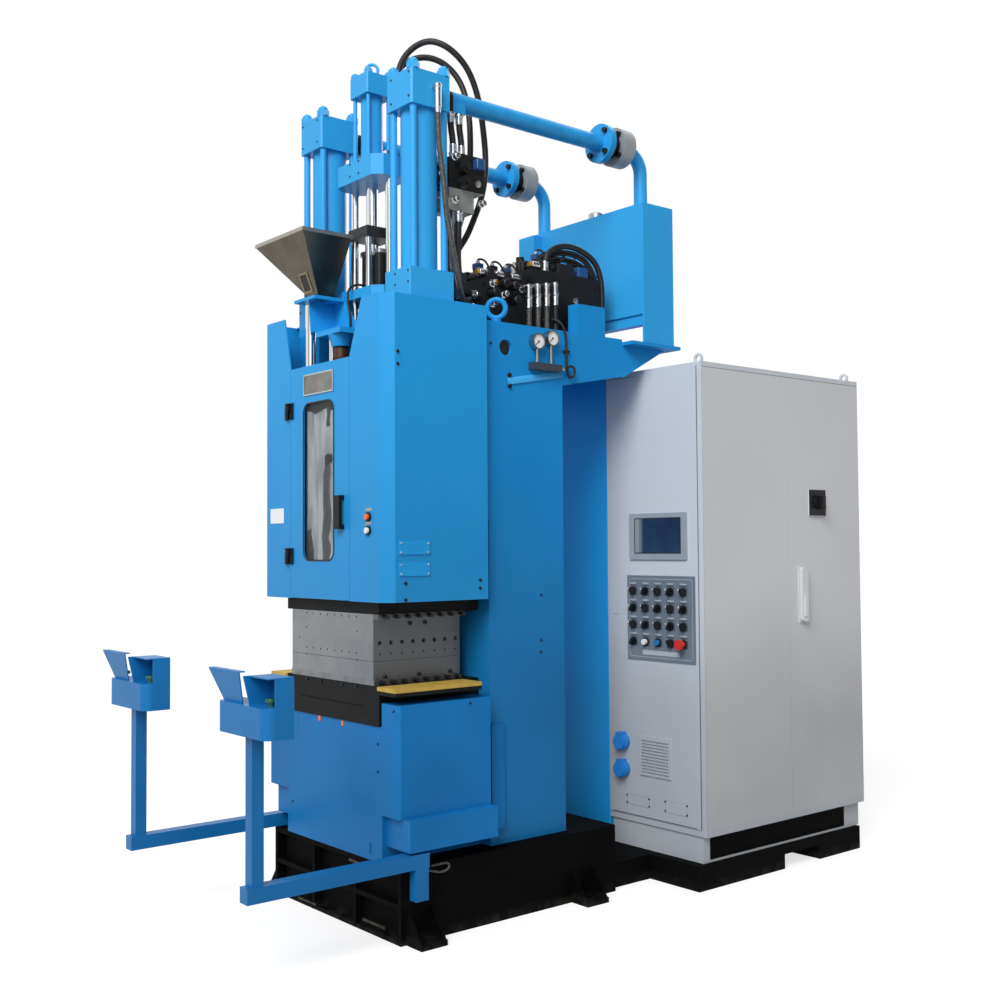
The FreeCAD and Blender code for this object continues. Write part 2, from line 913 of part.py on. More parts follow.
def build_columns():
    """Chromed columns from platen to crosshead with nuts on top, and the posts under shelf and ring plate."""
    columns = []
    for side in (-1, 1):
        x = side * column_offset
        shaft = rod_z(x, 0, platen_top, crosshead_top, column_dia)
        nut = hex_z(x, 0, crosshead_top, crosshead_top + column_nut_height, column_nut)
        columns.append(fuse_all([shaft, nut]))
    columns.append(rod_z(post_x, post_y, platen_top, shelf_top - shelf_thick, post_dia))
    columns.append(rod_z(small_post_x, small_post_y, platen_top, ring_plate_low, small_post_dia))
    return columns


def build_injection_cylinder():
    """Injection cylinder: barrel, square cap with eye bolt, four tie rods with nuts."""
    barrel = rod_z(0, 0, crosshead_top, inject_cap_low, inject_barrel)
    barrel = barrel.cut(rod_z(0, 0, crosshead_top, inject_cap_low, inject_bore))
    half = inject_cap / 2
    cap = block(-half, half, -half, half, inject_cap_low, inject_cap_top)
    cap = cap.makeChamfer(4, vertical_edges(cap, lambda x: True, lambda y: True))
    eye_z = inject_cap_top + 32
    eye = Part.makeTorus(24, 6, V(0, 0, eye_z), V(1, -1, 0))
    stem = rod_z(0, 0, inject_cap_top, eye_z - 20, 18)
    ports = block(port_block_left, port_block_right, half, half + port_block_depth, inject_cap_low + port_block_low,
                  inject_cap_low + port_block_high)
    pieces = [barrel, fuse_all([cap, stem, eye]), ports]
    for sx in (-1, 1):
        for sy in (-1, 1):
            x, y = sx * inject_tie_spread, sy * inject_tie_spread
            pieces.append(rod_z(x, y, crosshead_top, inject_cap_low, inject_tie))
            pieces.append(dome_nut_on(x, y, inject_cap_top, inject_nut, inject_nut_height))
    return pieces


def build_shot_barrel():
    """Shot barrel from carrier to platen, the feed body and the drive block standing on the carrier."""
    barrel = rod_z(0, 0, platen_top, carrier_low, shot_barrel)
    flange = rod_z(0, 0, platen_top, platen_top + shot_flange_thick, shot_flange)
    barrel = barrel.fuse(flange).cut(rod_z(0, 0, shot_bore_low, carrier_low, plunger_dia + 2 * running_gap))
    body_top = carrier_top + feed_body_height
    body = rod_z(0, 0, carrier_top, body_top, feed_body)
    body = body.fuse(rod_z(0, 0, body_top - feed_collar_height, body_top, feed_collar))
    body = body.cut(rod_z(0, 0, carrier_top, body_top, plunger_dia + 2 * running_gap))
    drive = block(motor_left, motor_right, motor_front, motor_back, carrier_top, carrier_top + motor_height)
    drive = drive.makeChamfer(4, vertical_edges(drive, lambda x: True, lambda y: True))
    front = -crosshead_depth / 2
    line = hose([(0, -feed_body / 2, carrier_top + 22), (0, front + 9, carrier_top + 22),
                 (-6, front - 24, carrier_top + 2), (-4, front - 27, carrier_top - 52),
                 (10, front - 25, carrier_top - 108),
                 (10, front - 25, ring_plate_low + ring_plate_thick)], cable)
    return [barrel, body.removeSplitter(), drive, line]


def build_plunger():
    """Plunger plate with the cylinder's rod above, the plunger and two guide pins below."""
    half = plunger_plate_size / 2
    top = plunger_plate_low + plunger_plate_thick
    plate = block(-half, half, -half, half, plunger_plate_low, top)
    pieces = [plate, rod_z(0, 0, top, plunger_rod_top, plunger_rod),
              rod_z(0, 0, plunger_low, plunger_plate_low, plunger_dia)]
    for x, y in pin_places():
        pieces.append(rod_z(x, y, guide_pin_low, plunger_plate_low, guide_pin))
    return fuse_all(pieces)


def build_feed_barrel():
    """Feed barrel hanging under the ring plate, bored through, with heater bands."""
    top = ring_plate_low
    bands = [rod_z(feed_x, feed_y, feed_low + low, feed_low + low + 34, feed_barrel + 8) for low in (40, 110, 176)]
    body = fuse_all([rod_z(feed_x, feed_y, feed_low, top, feed_barrel)] + bands)
    return body.cut(rod_z(feed_x, feed_y, feed_low, top, feed_bore))


# ------------------------------------------------------------------ hopper
def rectangle(x0, x1, y0, y1, z):
    """Closed rectangle in plan."""
    return Part.makePolygon([V(x0, y0, z), V(x1, y0, z), V(x1, y1, z), V(x0, y1, z), V(x0, y0, z)])


def funnel(inset):
    """Solid pyramid between outlet and rim, drawn in by an inset."""
    low = rectangle(outlet_left + inset, outlet_left + outlet_size - inset, outlet_front + inset,
                    outlet_front + outlet_size - inset, hopper_low)
    high = rectangle(hopper_left + inset, hopper_right - inset, hopper_front + inset, hopper_back - inset,
                     hopper_low + hopper_height)
    return Part.makeLoft([low, high], True, True)


def build_hopper():
    """Folded stainless hopper: leaning pyramid with a stiffening lip."""
    shell = funnel(0).cut(funnel(hopper_wall))
    z0 = hopper_low + hopper_height
    out = hopper_lip_out
    lip = block(hopper_left - out, hopper_right + out, hopper_front - out, hopper_back + out, z0, z0 + hopper_lip)
    hollow = block(hopper_left + hopper_wall, hopper_right - hopper_wall, hopper_front + hopper_wall,
                   hopper_back - hopper_wall, z0, z0 + hopper_lip)
    return fuse_all([shell, lip.cut(hollow)])


def build_bracket():
    """Hopper shelf with the chute down to the ring plate and the cone round the feed barrel."""
    low = shelf_top - shelf_thick
    shelf = block(shelf_left, shelf_right, shelf_front, shelf_back, low, shelf_top)
    throat = 6.0
    shelf = shelf.cut(block(outlet_left + throat, outlet_left + outlet_size - throat, outlet_front + throat,
                            outlet_front + outlet_size - throat, low, shelf_top))
    ring_top = ring_plate_low + ring_plate_thick
    ring_back = -crosshead_depth / 2
    ring = block(ring_plate_left, ring_plate_right, ring_plate_front, ring_back, ring_plate_low, ring_top)
    ring = ring.cut(rod_z(feed_x, feed_y, ring_plate_low, ring_top, feed_bore))
    web_y = shelf_back - 6
    web = plate_xz([(shelf_left + 60, low), (shelf_right, low), (ring_plate_right, ring_top),
                    (ring_plate_left, ring_top)], web_y - sheet, web_y)
    tab = block(shelf_right - 40, shelf_right, shelf_back - 10, ring_back, ring_top, carrier_top)
    chute = plate_xz([(outlet_left, low), (outlet_left - 3, low), (ring_plate_left, ring_top),
                      (ring_plate_left + 3, ring_top)], outlet_front, web_y)
    cone = Part.makeCone(feed_cone_low / 2, feed_cone / 2, feed_cone_height,
                         V(feed_x, feed_y, ring_plate_low - feed_cone_height))
    cone = cone.cut(rod_z(feed_x, feed_y, ring_plate_low - feed_cone_height, ring_plate_low,
                          feed_barrel + 2 * running_gap))
    return fuse_all([shelf, ring, web, tab, chute, cone])


# ------------------------------------------------------------------ upper cover and door
def hood_outline(inset):
    """Plan of the folded cover: square left front corner, slanted right one."""
    half = hood_width / 2 - inset
    front = hood_front + inset
    slant_x = hood_corner_x
    slant_y = hood_corner_y
    return [(-half, hood_rear), (-half, front), (half - slant_x, front), (half, front + slant_y), (half, hood_rear)]


def hinge_leaf_shape(x0, x1, y0, y1, z):
    """One hinge leaf, centred on a height."""
    return block(x0, x1, y0, y1, z - hinge_height / 2, z + hinge_height / 2)


def build_hood():
    """Upper cover: folded sheet with door opening, top notch, rear flanges, fixed hinge halves and bezels."""
    outer = plate_xy(hood_outline(0), hood_low, hood_top)
    inner = plate_xy(hood_outline(hood_sheet), hood_low, hood_top)
    hood = outer.cut(inner)
    opening = [(door_left - door_gap, hood_low), (door_right + door_gap, hood_low),
               (door_right + door_gap, door_top + door_gap), (notch_right_top, hood_top),
               (notch_left_top, hood_top), (door_left - door_gap, door_top + door_gap)]
    hood = hood.cut(plate_xz(opening, hood_front - 1, hood_front + hood_sheet + 1))
    half = hood_width / 2
    pieces = [hood]
    for side in (-1, 1):
        x0, x1 = sorted((side * frame_side, side * (half - hood_sheet)))
        pieces.append(block(x0, x1, hood_rear - hood_sheet, hood_rear, hood_low, hood_top))
        x0, x1 = sorted((side * (clamp_offset + block_width / 2 + running_gap), side * (half - hood_sheet)))
        pieces.append(block(x0, x1, jaw_front, hood_rear, hood_top - hood_sheet, hood_top))
    for z in (hinge_low_z, hinge_high_z):
        z0 = z - hinge_height / 2
        pieces.append(hinge_leaf_shape(hinge_x - hinge_leaf, hinge_x - hinge_pin / 2 - 1,
                                       hood_front - hinge_thick, hood_front, z))
        pieces.append(rod_z(hinge_x, hinge_y, z0, z, hinge_pin))
        pieces.append(block(hinge_x - hinge_pin, hinge_x, hinge_y - hinge_web / 2, hinge_y + hinge_web / 2, z0, z))
        pieces.append(block(hinge_x - hinge_pin, hinge_x - hinge_pin + hinge_web, hinge_y,
                            hood_front - hinge_thick, z0, z))
    for z in (orange_z, white_z):
        pieces.append(rod_y(cover_button_x, hood_front - bezel_height, hood_front, z,
                            cover_button + 2 * bezel_width))
    hood = fuse_all(pieces)
    for z in (orange_z, white_z):
        hood = hood.cut(rod_y(cover_button_x, hood_front - bezel_height, hood_front + hood_sheet, z,
                              cover_button + 2 * running_gap))
    return hood


def build_cover_button(z):
    """Push button in the cover's front wall."""
    head = rod_y(cover_button_x, hood_front - button_reach, hood_front + hood_sheet, z, cover_button)
    return head.makeFillet(2, [head.Edges[2] if head.Edges[2].BoundBox.YMin < hood_front - 1 else head.Edges[0]])


def rounded_window(y0, y1, grow):
    """Window opening with round corners."""
    body = block(window_left - grow, window_right + grow, y0, y1, window_low - grow, window_high + grow)
    corners = [e for e in body.Edges if abs(e.BoundBox.YMax - e.BoundBox.YMin) > 0.5 * (y1 - y0)]
    return body.makeFillet(window_radius, corners)


def build_door():
    """Front door: folded pan with a window, the moving hinge halves and a pull handle."""
    back = hood_front + door_thick
    pan = block(door_left, door_right, hood_front, back, hood_low + door_gap, door_top)
    rim = 18.0
    pocket = block(door_left + rim, door_right - rim, hood_front + door_skin, back, hood_low + door_gap + rim,
                   door_top - rim)
    pan = pan.cut(pocket).cut(rounded_window(hood_front, hood_front + door_skin, 0))
    pieces = [pan]
    for z in (hinge_low_z, hinge_high_z):
        z1 = z + hinge_height / 2
        leaf_x = hinge_x + hinge_pin / 2 + 1
        pieces.append(hinge_leaf_shape(leaf_x, hinge_x + hinge_leaf, hood_front - hinge_thick, hood_front, z))
        pieces.append(rod_z(hinge_x, hinge_y, z, z1, hinge_pin))
        pieces.append(block(hinge_x, hinge_x + hinge_pin, hinge_y - hinge_web / 2, hinge_y + hinge_web / 2, z, z1))
        pieces.append(block(hinge_x + hinge_pin - hinge_web, hinge_x + hinge_pin, hinge_y,
                            hood_front - hinge_thick, z, z1))
    grip_y = hood_front - pull_reach
    pieces.append(block(pull_x - pull_width / 2, pull_x + pull_width / 2, grip_y, grip_y + 12,
                        pull_z - pull_length / 2, pull_z + pull_length / 2))
    for z in (pull_z - pull_length / 2, pull_z + pull_length / 2 - 16):
        pieces.append(block(pull_x - pull_width / 2, pull_x + pull_width / 2, grip_y + 12, hood_front, z, z + 16))
    return fuse_all(pieces)


def build_pane():
    """Window pane behind the door's skin."""
    front = hood_front + door_skin
    return rounded_window(front, front + pane_thick, window_lap)


# ------------------------------------------------------------------ prefill line and tank
def prefill_pipe_shape():
    """Pipe from the clamp cylinder's cap to its flange."""
    pipe = rod_y(clamp_offset, cap_depth / 2, flange_front, prefill_z, prefill_pipe)
    collar = rod_y(clamp_offset, cap_depth / 2, cap_depth / 2 + 18, prefill_z, prefill_pipe + 26)
    flange = rod_y(clamp_offset, flange_front, flange_front + flange_thick, prefill_z, flange_dia)
    pad = block(pad_left, pad_right, pad_front, pad_rear, pad_low, prefill_z - 10)
    return fuse_all([pipe, collar, flange, pad])


def tank_pipe_shape():
    """Rear flange with its neck, elbow and drop pipe onto the tank."""
    flange = rod_y(clamp_offset, rear_flange_front, rear_flange_back, prefill_z, flange_dia)
    neck = rod_y(clamp_offset, rear_flange_front - neck_length, rear_flange_front, prefill_z, neck_dia)
    bend_y = drop_y - elbow_radius
    bend_z = prefill_z - elbow_radius
    start = V(clamp_offset, rear_flange_back, prefill_z)
    middle_step = elbow_radius * math.sin(math.radians(45))
    arc = Part.Arc(V(clamp_offset, bend_y, prefill_z),
                   V(clamp_offset, bend_y + middle_step, bend_z + middle_step),
                   V(clamp_offset, drop_y, bend_z)).toShape()
    path = Part.Wire([Part.LineSegment(start, V(clamp_offset, bend_y, prefill_z)).toShape(), arc,
                      Part.LineSegment(V(clamp_offset, drop_y, bend_z),
                                       V(clamp_offset, drop_y, tank_high)).toShape()])
    ring = Part.Wire([Part.makeCircle(tank_pipe / 2, start, V(0, 1, 0))])
    pipe = path.makePipeShell([ring], True, False)
    return fuse_all([neck, flange, pipe])


def build_flange_bolts():
    """Cap screws on the front faces of both flanges."""
    bolts = []
    reach = flange_bolt_circle / 2
    for k in range(4):
        angle = math.radians(45 + 90 * k)
        x = clamp_offset + reach * math.cos(angle)
        z = prefill_z + reach * math.sin(angle)
        bolts.append(rod_y(x, flange_front - bolt_head_height, flange_front, z, bolt_head))
        bolts.append(rod_y(x, rear_flange_front - bolt_head_height, rear_flange_front, z, bolt_head))
    return bolts + [mirrored(b) for b in bolts]


def build_tank():
    """Closed oil tank with end plates down to the bracket, a rail and a front box."""
    body = block(tank_left, tank_right, tank_front, tank_rear, tank_low, tank_high)
    rail = block(tank_left, tank_right, tank_front + 8, tank_front + 48, tank_low - tank_rail, tank_low)
    pieces = [body, rail, block(tank_box_left, tank_box_right, tank_box_front, tank_front, tank_box_low, tank_box_high)]
    for x in (tank_left, tank_right - tank_end):
        pieces.append(block(x, x + tank_end, tank_front, tank_rear, bracket_z, tank_low))
    return fuse_all(pieces)


def build_breather():
    """Filler breather: knurled cap on a neck."""
    y = (tank_front + tank_rear) / 2
    neck = rod_z(breather_x, y, tank_high, tank_high + 12, breather_dia * 0.7)
    cap = rod_z(breather_x, y, tank_high + 12, tank_high + breather_height, breather_dia)
    cap = cap.makeChamfer(4, [e for e in cap.Edges if e.BoundBox.ZMin > tank_high + breather_height - 1])
    return fuse_all([neck, cap])


def build_pack_cover():
    """Power pack cover behind the column, with rows of louvres low on its rear wall."""
    body = block(pack_left, pack_right, cab_front, pack_rear, cab_base_height, pack_high)
    body = body.makeChamfer(3, vertical_edges(body, lambda x: True, lambda y: True))
    mid = (pack_left + pack_right) / 2
    half = pack_louvre_length / 2
    for k in range(pack_louvre_count):
        z = pack_louvre_low + k * pack_louvre_pitch
        body = body.cut(block(mid - half, mid + half, pack_rear - 4, pack_rear, z, z + pack_louvre_height))
    return body


# ------------------------------------------------------------------ hydraulics on top
def build_manifold():
    """Manifold block, valve tower, and the stepped valve block carried behind the right cylinder."""
    main = block(manifold_left, manifold_right, manifold_front, manifold_rear, frame_top, frame_top + manifold_height)
    tower = block(tower_left, tower_right, tower_front, tower_rear, frame_top, frame_top + tower_height)
    tower = tower.makeChamfer(4, vertical_edges(tower, lambda x: True, lambda y: y > tower_front + 1))
    sub_plate = block(rear_block_left, rear_block_right, rear_block_front, rear_plate_rear,
                      rear_block_low, rear_block_mid)
    stack = block(rear_block_left, rear_block_right, rear_block_front, rear_block_rear,
                  rear_block_mid, rear_block_high - 40)
    cap = block(rear_block_left, rear_block_right, rear_block_front + 40, rear_block_rear,
                rear_block_high - 40, rear_block_high)
    strap = block(rear_block_left, rear_block_right, tie_spread_y + tie_rod / 2 + 0.3, rear_block_front,
                  rear_block_low + 10, rear_block_low + 34)
    return [main, tower, fuse_all([sub_plate, stack, cap, strap])]


def build_guard_box():
    """Small blue cover box beside the tower."""
    return block(guard_box_left, frame_side, guard_box_front, guard_box_rear, frame_top, frame_top + guard_box_height)


def solenoid_valve(y):
    """Spool valve on the manifold: body, two coils, end nuts and plugs."""
    z0 = frame_top + manifold_height
    x_mid = (manifold_left + manifold_right) / 2
    half = valve_body_length / 2
    axis_z = z0 + valve_body_height / 2
    body = block(x_mid - half, x_mid + half, y - valve_body_width / 2, y + valve_body_width / 2,
                 z0, z0 + valve_body_height)
    pieces = [body]
    for side in (-1, 1):
        x0, x1 = sorted((x_mid + side * half, x_mid + side * (half + coil_length)))
        pieces.append(rod_x(x0, x1, y, axis_z, coil_dia))
        n0, n1 = sorted((x_mid + side * (half + coil_length), x_mid + side * (half + coil_length + 16)))
        pieces.append(rod_x(n0, n1, y, axis_z, coil_dia * 0.5))
        px = x_mid + side * (half + coil_length * 0.55)
        pieces.append(block(px - plug_size / 2, px + plug_size / 2, y - plug_size / 2, y + plug_size / 2,
                            axis_z, z0 + valve_body_height + plug_size))
    return fuse_all(pieces)


def tower_valve(y):
    """Upright valve on the tower: body, side coil with its plug and a screw cap on top."""
    top = frame_top + tower_height
    x_mid = (tower_left + tower_right) / 2
    body = block(x_mid - 80, x_mid + 20, y - 30, y + 30, top, top + 58)
    coil = rod_x(x_mid + 20, x_mid + 88, y, top + 29, coil_dia)
    plug = block(x_mid + 46, x_mid + 46 + plug_size, y - plug_size / 2, y + plug_size / 2, top + 29, top + 78)
    cap = rod_z(x_mid - 40, y, top + 58, top + 84, 34)
    return fuse_all([body, coil, plug, cap])


def build_valves():
    """Spool valves on the manifold, upright valves on the tower, and a coil pair on the rear block."""
    shapes = [solenoid_valve(valve_first_y + k * valve_pitch) for k in range(valve_count)]
    shapes += [tower_valve(tower_valve_first_y + k * tower_valve_pitch) for k in range(tower_valve_count)]
    axis_z = (rear_block_mid + rear_block_high) / 2 - 18
    for z in (axis_z - 26, axis_z + 26):
        coil = rod_x(rear_block_right, rear_block_right + 34, rear_block_front + 60, z, coil_dia)
        nut = rod_x(rear_block_right + 34, rear_block_right + 44, rear_block_front + 60, z, coil_dia * 0.5)
        shapes.append(fuse_all([coil, nut]))
    return shapes


def elbow_place(k):
    """Centre of an elbow and the X of the block face behind it."""
    y = elbow_first_y + k * elbow_pitch
    return y, elbow_z + k * elbow_step_z, manifold_right if y < manifold_rear else tower_right


def build_fittings():
    """Silver elbows on the manifold's right side and the cap's side port."""
    shapes = []
    for k in range(elbow_count):
        y, z, face = elbow_place(k)
        arm = rod_x(face, elbow_x, y, z, elbow_dia)
        knee = Part.makeSphere(elbow_dia / 2 + 1, V(elbow_x, y, z))
        leg = rod_z(elbow_x, y, z - 34, z, elbow_dia)
        shapes.append(fuse_all([arm, knee, leg]))
    side = clamp_offset + block_width / 2
    arm = rod_x(side, side + 20, port_y, port_z, 24)
    knee = Part.makeSphere(15, V(side + 20, port_y, port_z))
    leg = rod_z(side + 20, port_y, port_z - 70, port_z, 26)
    shapes.append(fuse_all([arm, knee, leg]))
    return shapes


def build_fixed_hoses():
    """Hoses between fixed fittings: drops, pilot pair, rear bundle, cap line, arch and gauge line."""
    hoses = []
    for k in range(elbow_count):
        y, z, face = elbow_place(k)
        hoses.append(rod_z(elbow_x, y, frame_top, z - 34, hose_small))
    entry_z = frame_top + 90
    for k in range(2):
        y = pad_front + 22 + 40 * k
        x = rear_block_right - 34
        hoses.append(hose([(x, y, pad_low), (x, y, pad_low - 50), (x, y + 12, pad_low - 104),
                           (x, y + 12, rear_block_high)], hose_large))
    for k in range(3):
        x = rear_block_left + 20 + 38 * k
        y = rear_block_front + 50
        goal = manifold_right - 175 + 45 * k
        hoses.append(hose([(x, y, rear_block_low), (x, y, rear_block_low - 80),
                           (x - 12, y + 4, rear_block_low - 160), (x - 30, y + 24, rear_block_low - 232),
                           (x - 0.5 * (x - goal) - 12, y + 72, entry_z + 22),
                           (goal, y + 120, entry_z), (goal, manifold_front, entry_z)], hose_large))
    x = port_x
    hoses.append(hose([(x, port_y, port_z - 70), (x, port_y, port_z - 190), (x, port_y + 24, port_z - 330),
                       (x, port_y + 36, port_z - 460), (x, port_y + 62, port_z - 570),
                       (x - 6, port_y + 88, port_z - 660), (x - 38, port_y + 128, port_z - 722),
                       (x - 88, port_y + 186, entry_z - 36), (manifold_right - 28, port_y + 240, entry_z - 48),
                       (manifold_right - 28, manifold_front, entry_z - 48)], hose_small))
    top = frame_top + tower_height
    arch_x = tower_right - 20
    back = tower_rear + hose_large / 2 + 6
    hoses.append(hose([(arch_x, arch_front, top), (arch_x, arch_front, top + 58), (arch_x + 2, arch_front + 46, top + 104),
                       (arch_x + 6, arch_front + 122, top + 124), (arch_x + 8, arch_front + 206, top + 110),
                       (arch_x + 8, back - 34, top + 76), (arch_x + 8, back - 2, top + 10),
                       (arch_x + 8, back + 2, top - 70), (arch_x + 8, back, top - 150),
                       (arch_x + 8, back, frame_top)], hose_large))
    x = frame_side + hose_thin / 2 + 4
    y = gauge_line_y
    hoses.append(hose([(tower_right, y - 40, frame_top + 50), (tower_right + 40, y - 40, frame_top + 50),
                       (frame_side - 2, y - 20, frame_top + 38),
                       (x, y, frame_top - 10), (x, y + 1, frame_top - 64), (x, y, frame_top - 118),
                       (x + 1, y + 1, frame_top - 160),
                       (x + 5, y + 14, frame_top - 188), (x + 9, y + 34, frame_top - 178),
                       (x + 12, y + 36, frame_top - 150), (x + 12, y + 14, frame_top - 138),
                       (x + 8, y - 12, gauge_block_low + gauge_block_height / 2),
                       (x + 8, gauge_block_rear, gauge_block_low + gauge_block_height / 2)], hose_thin))
    return hoses


def build_loop_hoses():
    """Two hoses looping from the injection cylinder's port block: both down to the manifold."""
    y = inject_cap / 2 + port_block_depth / 2
    z = inject_cap_low + port_block_high
    x = port_block_right - 20
    entry_x = manifold_right - 57
    entry_y = manifold_front
    entry_z = frame_top + 127
    far = hose([(x, y, z), (x, y, z + 77), (x + 23, y + 13, z + 131), (x + 64, y + 37, z + 168),
                (x + 115, y + 66, z + 180), (x + 154, y + 104, z + 163), (x + 174, y + 152, z + 131),
                (x + 180, y + 202, z + 87), (x + 178, y + 244, z + 21), (x + 174, y + 272, z - 59),
                (x + 170, y + 290, z - 149), (x + 170, y + 300, z - 243), (x + 172, y + 294, z - 335),
                (x + 174, y + 270, z - 423), (entry_x + 1, entry_y - 14, entry_z + 293),
                (entry_x + 1, entry_y - 48, entry_z + 223), (entry_x + 1, entry_y - 84, entry_z + 173),
                (entry_x, entry_y - 116, entry_z + 129), (entry_x, entry_y - 124, entry_z + 84),
                (entry_x, entry_y - 108, entry_z + 44), (entry_x, entry_y - 80, entry_z + 14),
                (entry_x, entry_y - 42, entry_z), (entry_x, entry_y, entry_z)], hose_large)
    x = port_block_left + 10
    beside = entry_x - 30
    near = hose([(x, y, z), (x, y, z + 53), (x + 13, y + 24, z + 106), (x + 38, y + 62, z + 141),
                 (x + 70, y + 110, z + 153), (x + 104, y + 156, z + 137), (x + 134, y + 194, z + 97),
                 (x + 158, y + 220, z + 41), (x + 174, y + 232, z - 25), (x + 182, y + 240, z - 105),
                 (beside + 5, entry_y - 8, entry_z + 573), (beside + 4, entry_y - 14, entry_z + 473),
                 (beside + 3, entry_y - 30, entry_z + 381), (beside + 1, entry_y - 52, entry_z + 296),
                 (beside + 1, entry_y - 80, entry_z + 223), (beside, entry_y - 106, entry_z + 166),
                 (beside, entry_y - 122, entry_z + 116), (beside, entry_y - 124, entry_z + 74),
                 (beside, entry_y - 104, entry_z + 38), (beside, entry_y - 74, entry_z + 12),
                 (beside, entry_y - 36, entry_z), (beside, entry_y, entry_z)], hose_large)
    return [far, near]


# ------------------------------------------------------------------ gauges
def gauge_place(k):
    """Centre of a gauge's dial."""
    return gauge_y + k * gauge_step_y, gauge_z + k * gauge_step_z


def build_gauges():
    """Gauge block on the frame's side with two gauges on stems; the dials face +X."""
    x0 = frame_side
    shapes = [block(x0, x0 + gauge_block_depth, gauge_block_front, gauge_block_rear, gauge_block_low,
                    gauge_block_low + gauge_block_height)]
    for k in range(2):
        y, z = gauge_place(k)
        case = rod_x(x0 + gauge_gap, x0 + gauge_gap + gauge_depth, y, z, gauge_dia)
        dish = rod_x(x0 + gauge_gap + gauge_depth - 5, x0 + gauge_gap + gauge_depth, y, z, gauge_dia - 8)
        boss = rod_x(x0 + gauge_gap + gauge_depth - 5, x0 + gauge_gap + gauge_depth - 4, y, z, 6)
        stem = rod_z(x0 + gauge_block_depth / 2, y, gauge_block_low + gauge_block_height, z, 12)
        shapes.append(fuse_all([case.cut(dish), stem.cut(dish), boss]))
    return [fuse_all(shapes)]


def build_needle(k):
    """Pointer turning on the dial's boss."""
    y, z = gauge_place(k)
    x = frame_side + gauge_gap + gauge_depth - 4 + 0.3
    hub = rod_x(x, x + needle_thick, y, z, 7)
    tip = plate_yz([(y - needle_width / 2, z), (y + needle_width / 2, z), (y + 0.6, z + needle_length),
                    (y - 0.6, z + needle_length)], x, x + needle_thick)
    pointer = hub.fuse(tip).removeSplitter()
    pointer.rotate(V(x, y, z), V(1, 0, 0), 135)
    return pointer


# ------------------------------------------------------------------ two-hand console
def console_arm():
    """Square arm on a stub welded to the skid, with its upright post."""
    x0 = arm_x - arm_size / 2
    arm = block(x0, x0 + arm_size, arm_front, arm_rear, arm_low, arm_top)
    skid = base_width / 2
    stub = block(skid, skid + stub_reach, stub_front, stub_front + stub_depth, stub_low, arm_low)
    half = console_post / 2
    post = block(arm_x - half, arm_x + half, console_post_y - half, console_post_y + half, arm_top, box_low)
    return fuse_all([arm, stub, post])


def console_box(x_left):
    """Switch box with visor over the start button and a leaning shield before the stop button."""
    x_right = x_left + box_width
    y_back = box_front + box_depth
    body = block(x_left, x_right, box_front, y_back, box_low, box_top)
    body = body.makeFillet(box_radius, vertical_edges(body, lambda x: True, lambda y: y < box_front + 1))
    visor_left = x_right - visor_width
    visor_top = box_top + visor_height
    t = visor_sheet
    side = block(x_right - t, x_right, box_front + box_radius, y_back, box_top, visor_top)
    back = block(visor_left, x_right, y_back - t, y_back, box_top, visor_top)
    roof = block(visor_left, x_right, box_front + box_radius * 0.4, y_back, visor_top - t, visor_top)
    shield_left = x_left + shield_from_left
    slack = (shield_top - shield_bottom) / 2
    base_y = box_front + 12
    points = [V(shield_left, base_y, box_top), V(shield_left + shield_bottom, base_y, box_top),
              V(shield_left + shield_bottom + slack * 0.5, base_y - shield_lean, box_top + shield_height),
              V(shield_left - slack * 1.5, base_y - shield_lean, box_top + shield_height)]
    sheet_face = Part.Face(Part.makePolygon(points + points[:1]))
    shield = sheet_face.extrude(V(0, t, 0))
    lip = block(points[3].x, points[2].x, base_y - shield_lean, base_y - shield_lean + 22,
                box_top + shield_height, box_top + shield_height + t)
    cheek = plate_yz([(base_y + t, box_top), (y_back - t, box_top), (y_back - t, visor_top),
                      (base_y + t - shield_lean * 0.9, visor_top)],
                     visor_left, visor_left + t)
    whole = fuse_all([body, side, back, roof, shield, lip, cheek])
    for x in (x_right - start_from_right, x_left + stop_from_left):
        whole = whole.cut(rod_z(x, box_centre_y, box_top - 30, box_top, palm_stem + 2 * running_gap))
    return whole


def console_lefts():
    """Left edges of the left and the right box: both boxes are alike, not mirrored."""
    return {"left": -arm_x - box_width / 2, "right": arm_x - box_width / 2}


def palm_button(x):
    """Mushroom button: stem in the box, dish-shaped head above."""
    stem = rod_z(x, box_centre_y, box_top - 20, box_top + palm_rise - 12, palm_stem)
    head = rod_z(x, box_centre_y, box_top + palm_rise - 12, box_top + palm_rise, palm_dia)
    head = head.makeFillet(5, [e for e in head.Edges if e.BoundBox.ZMin > box_top + palm_rise - 1])
    return fuse_all([stem, head])


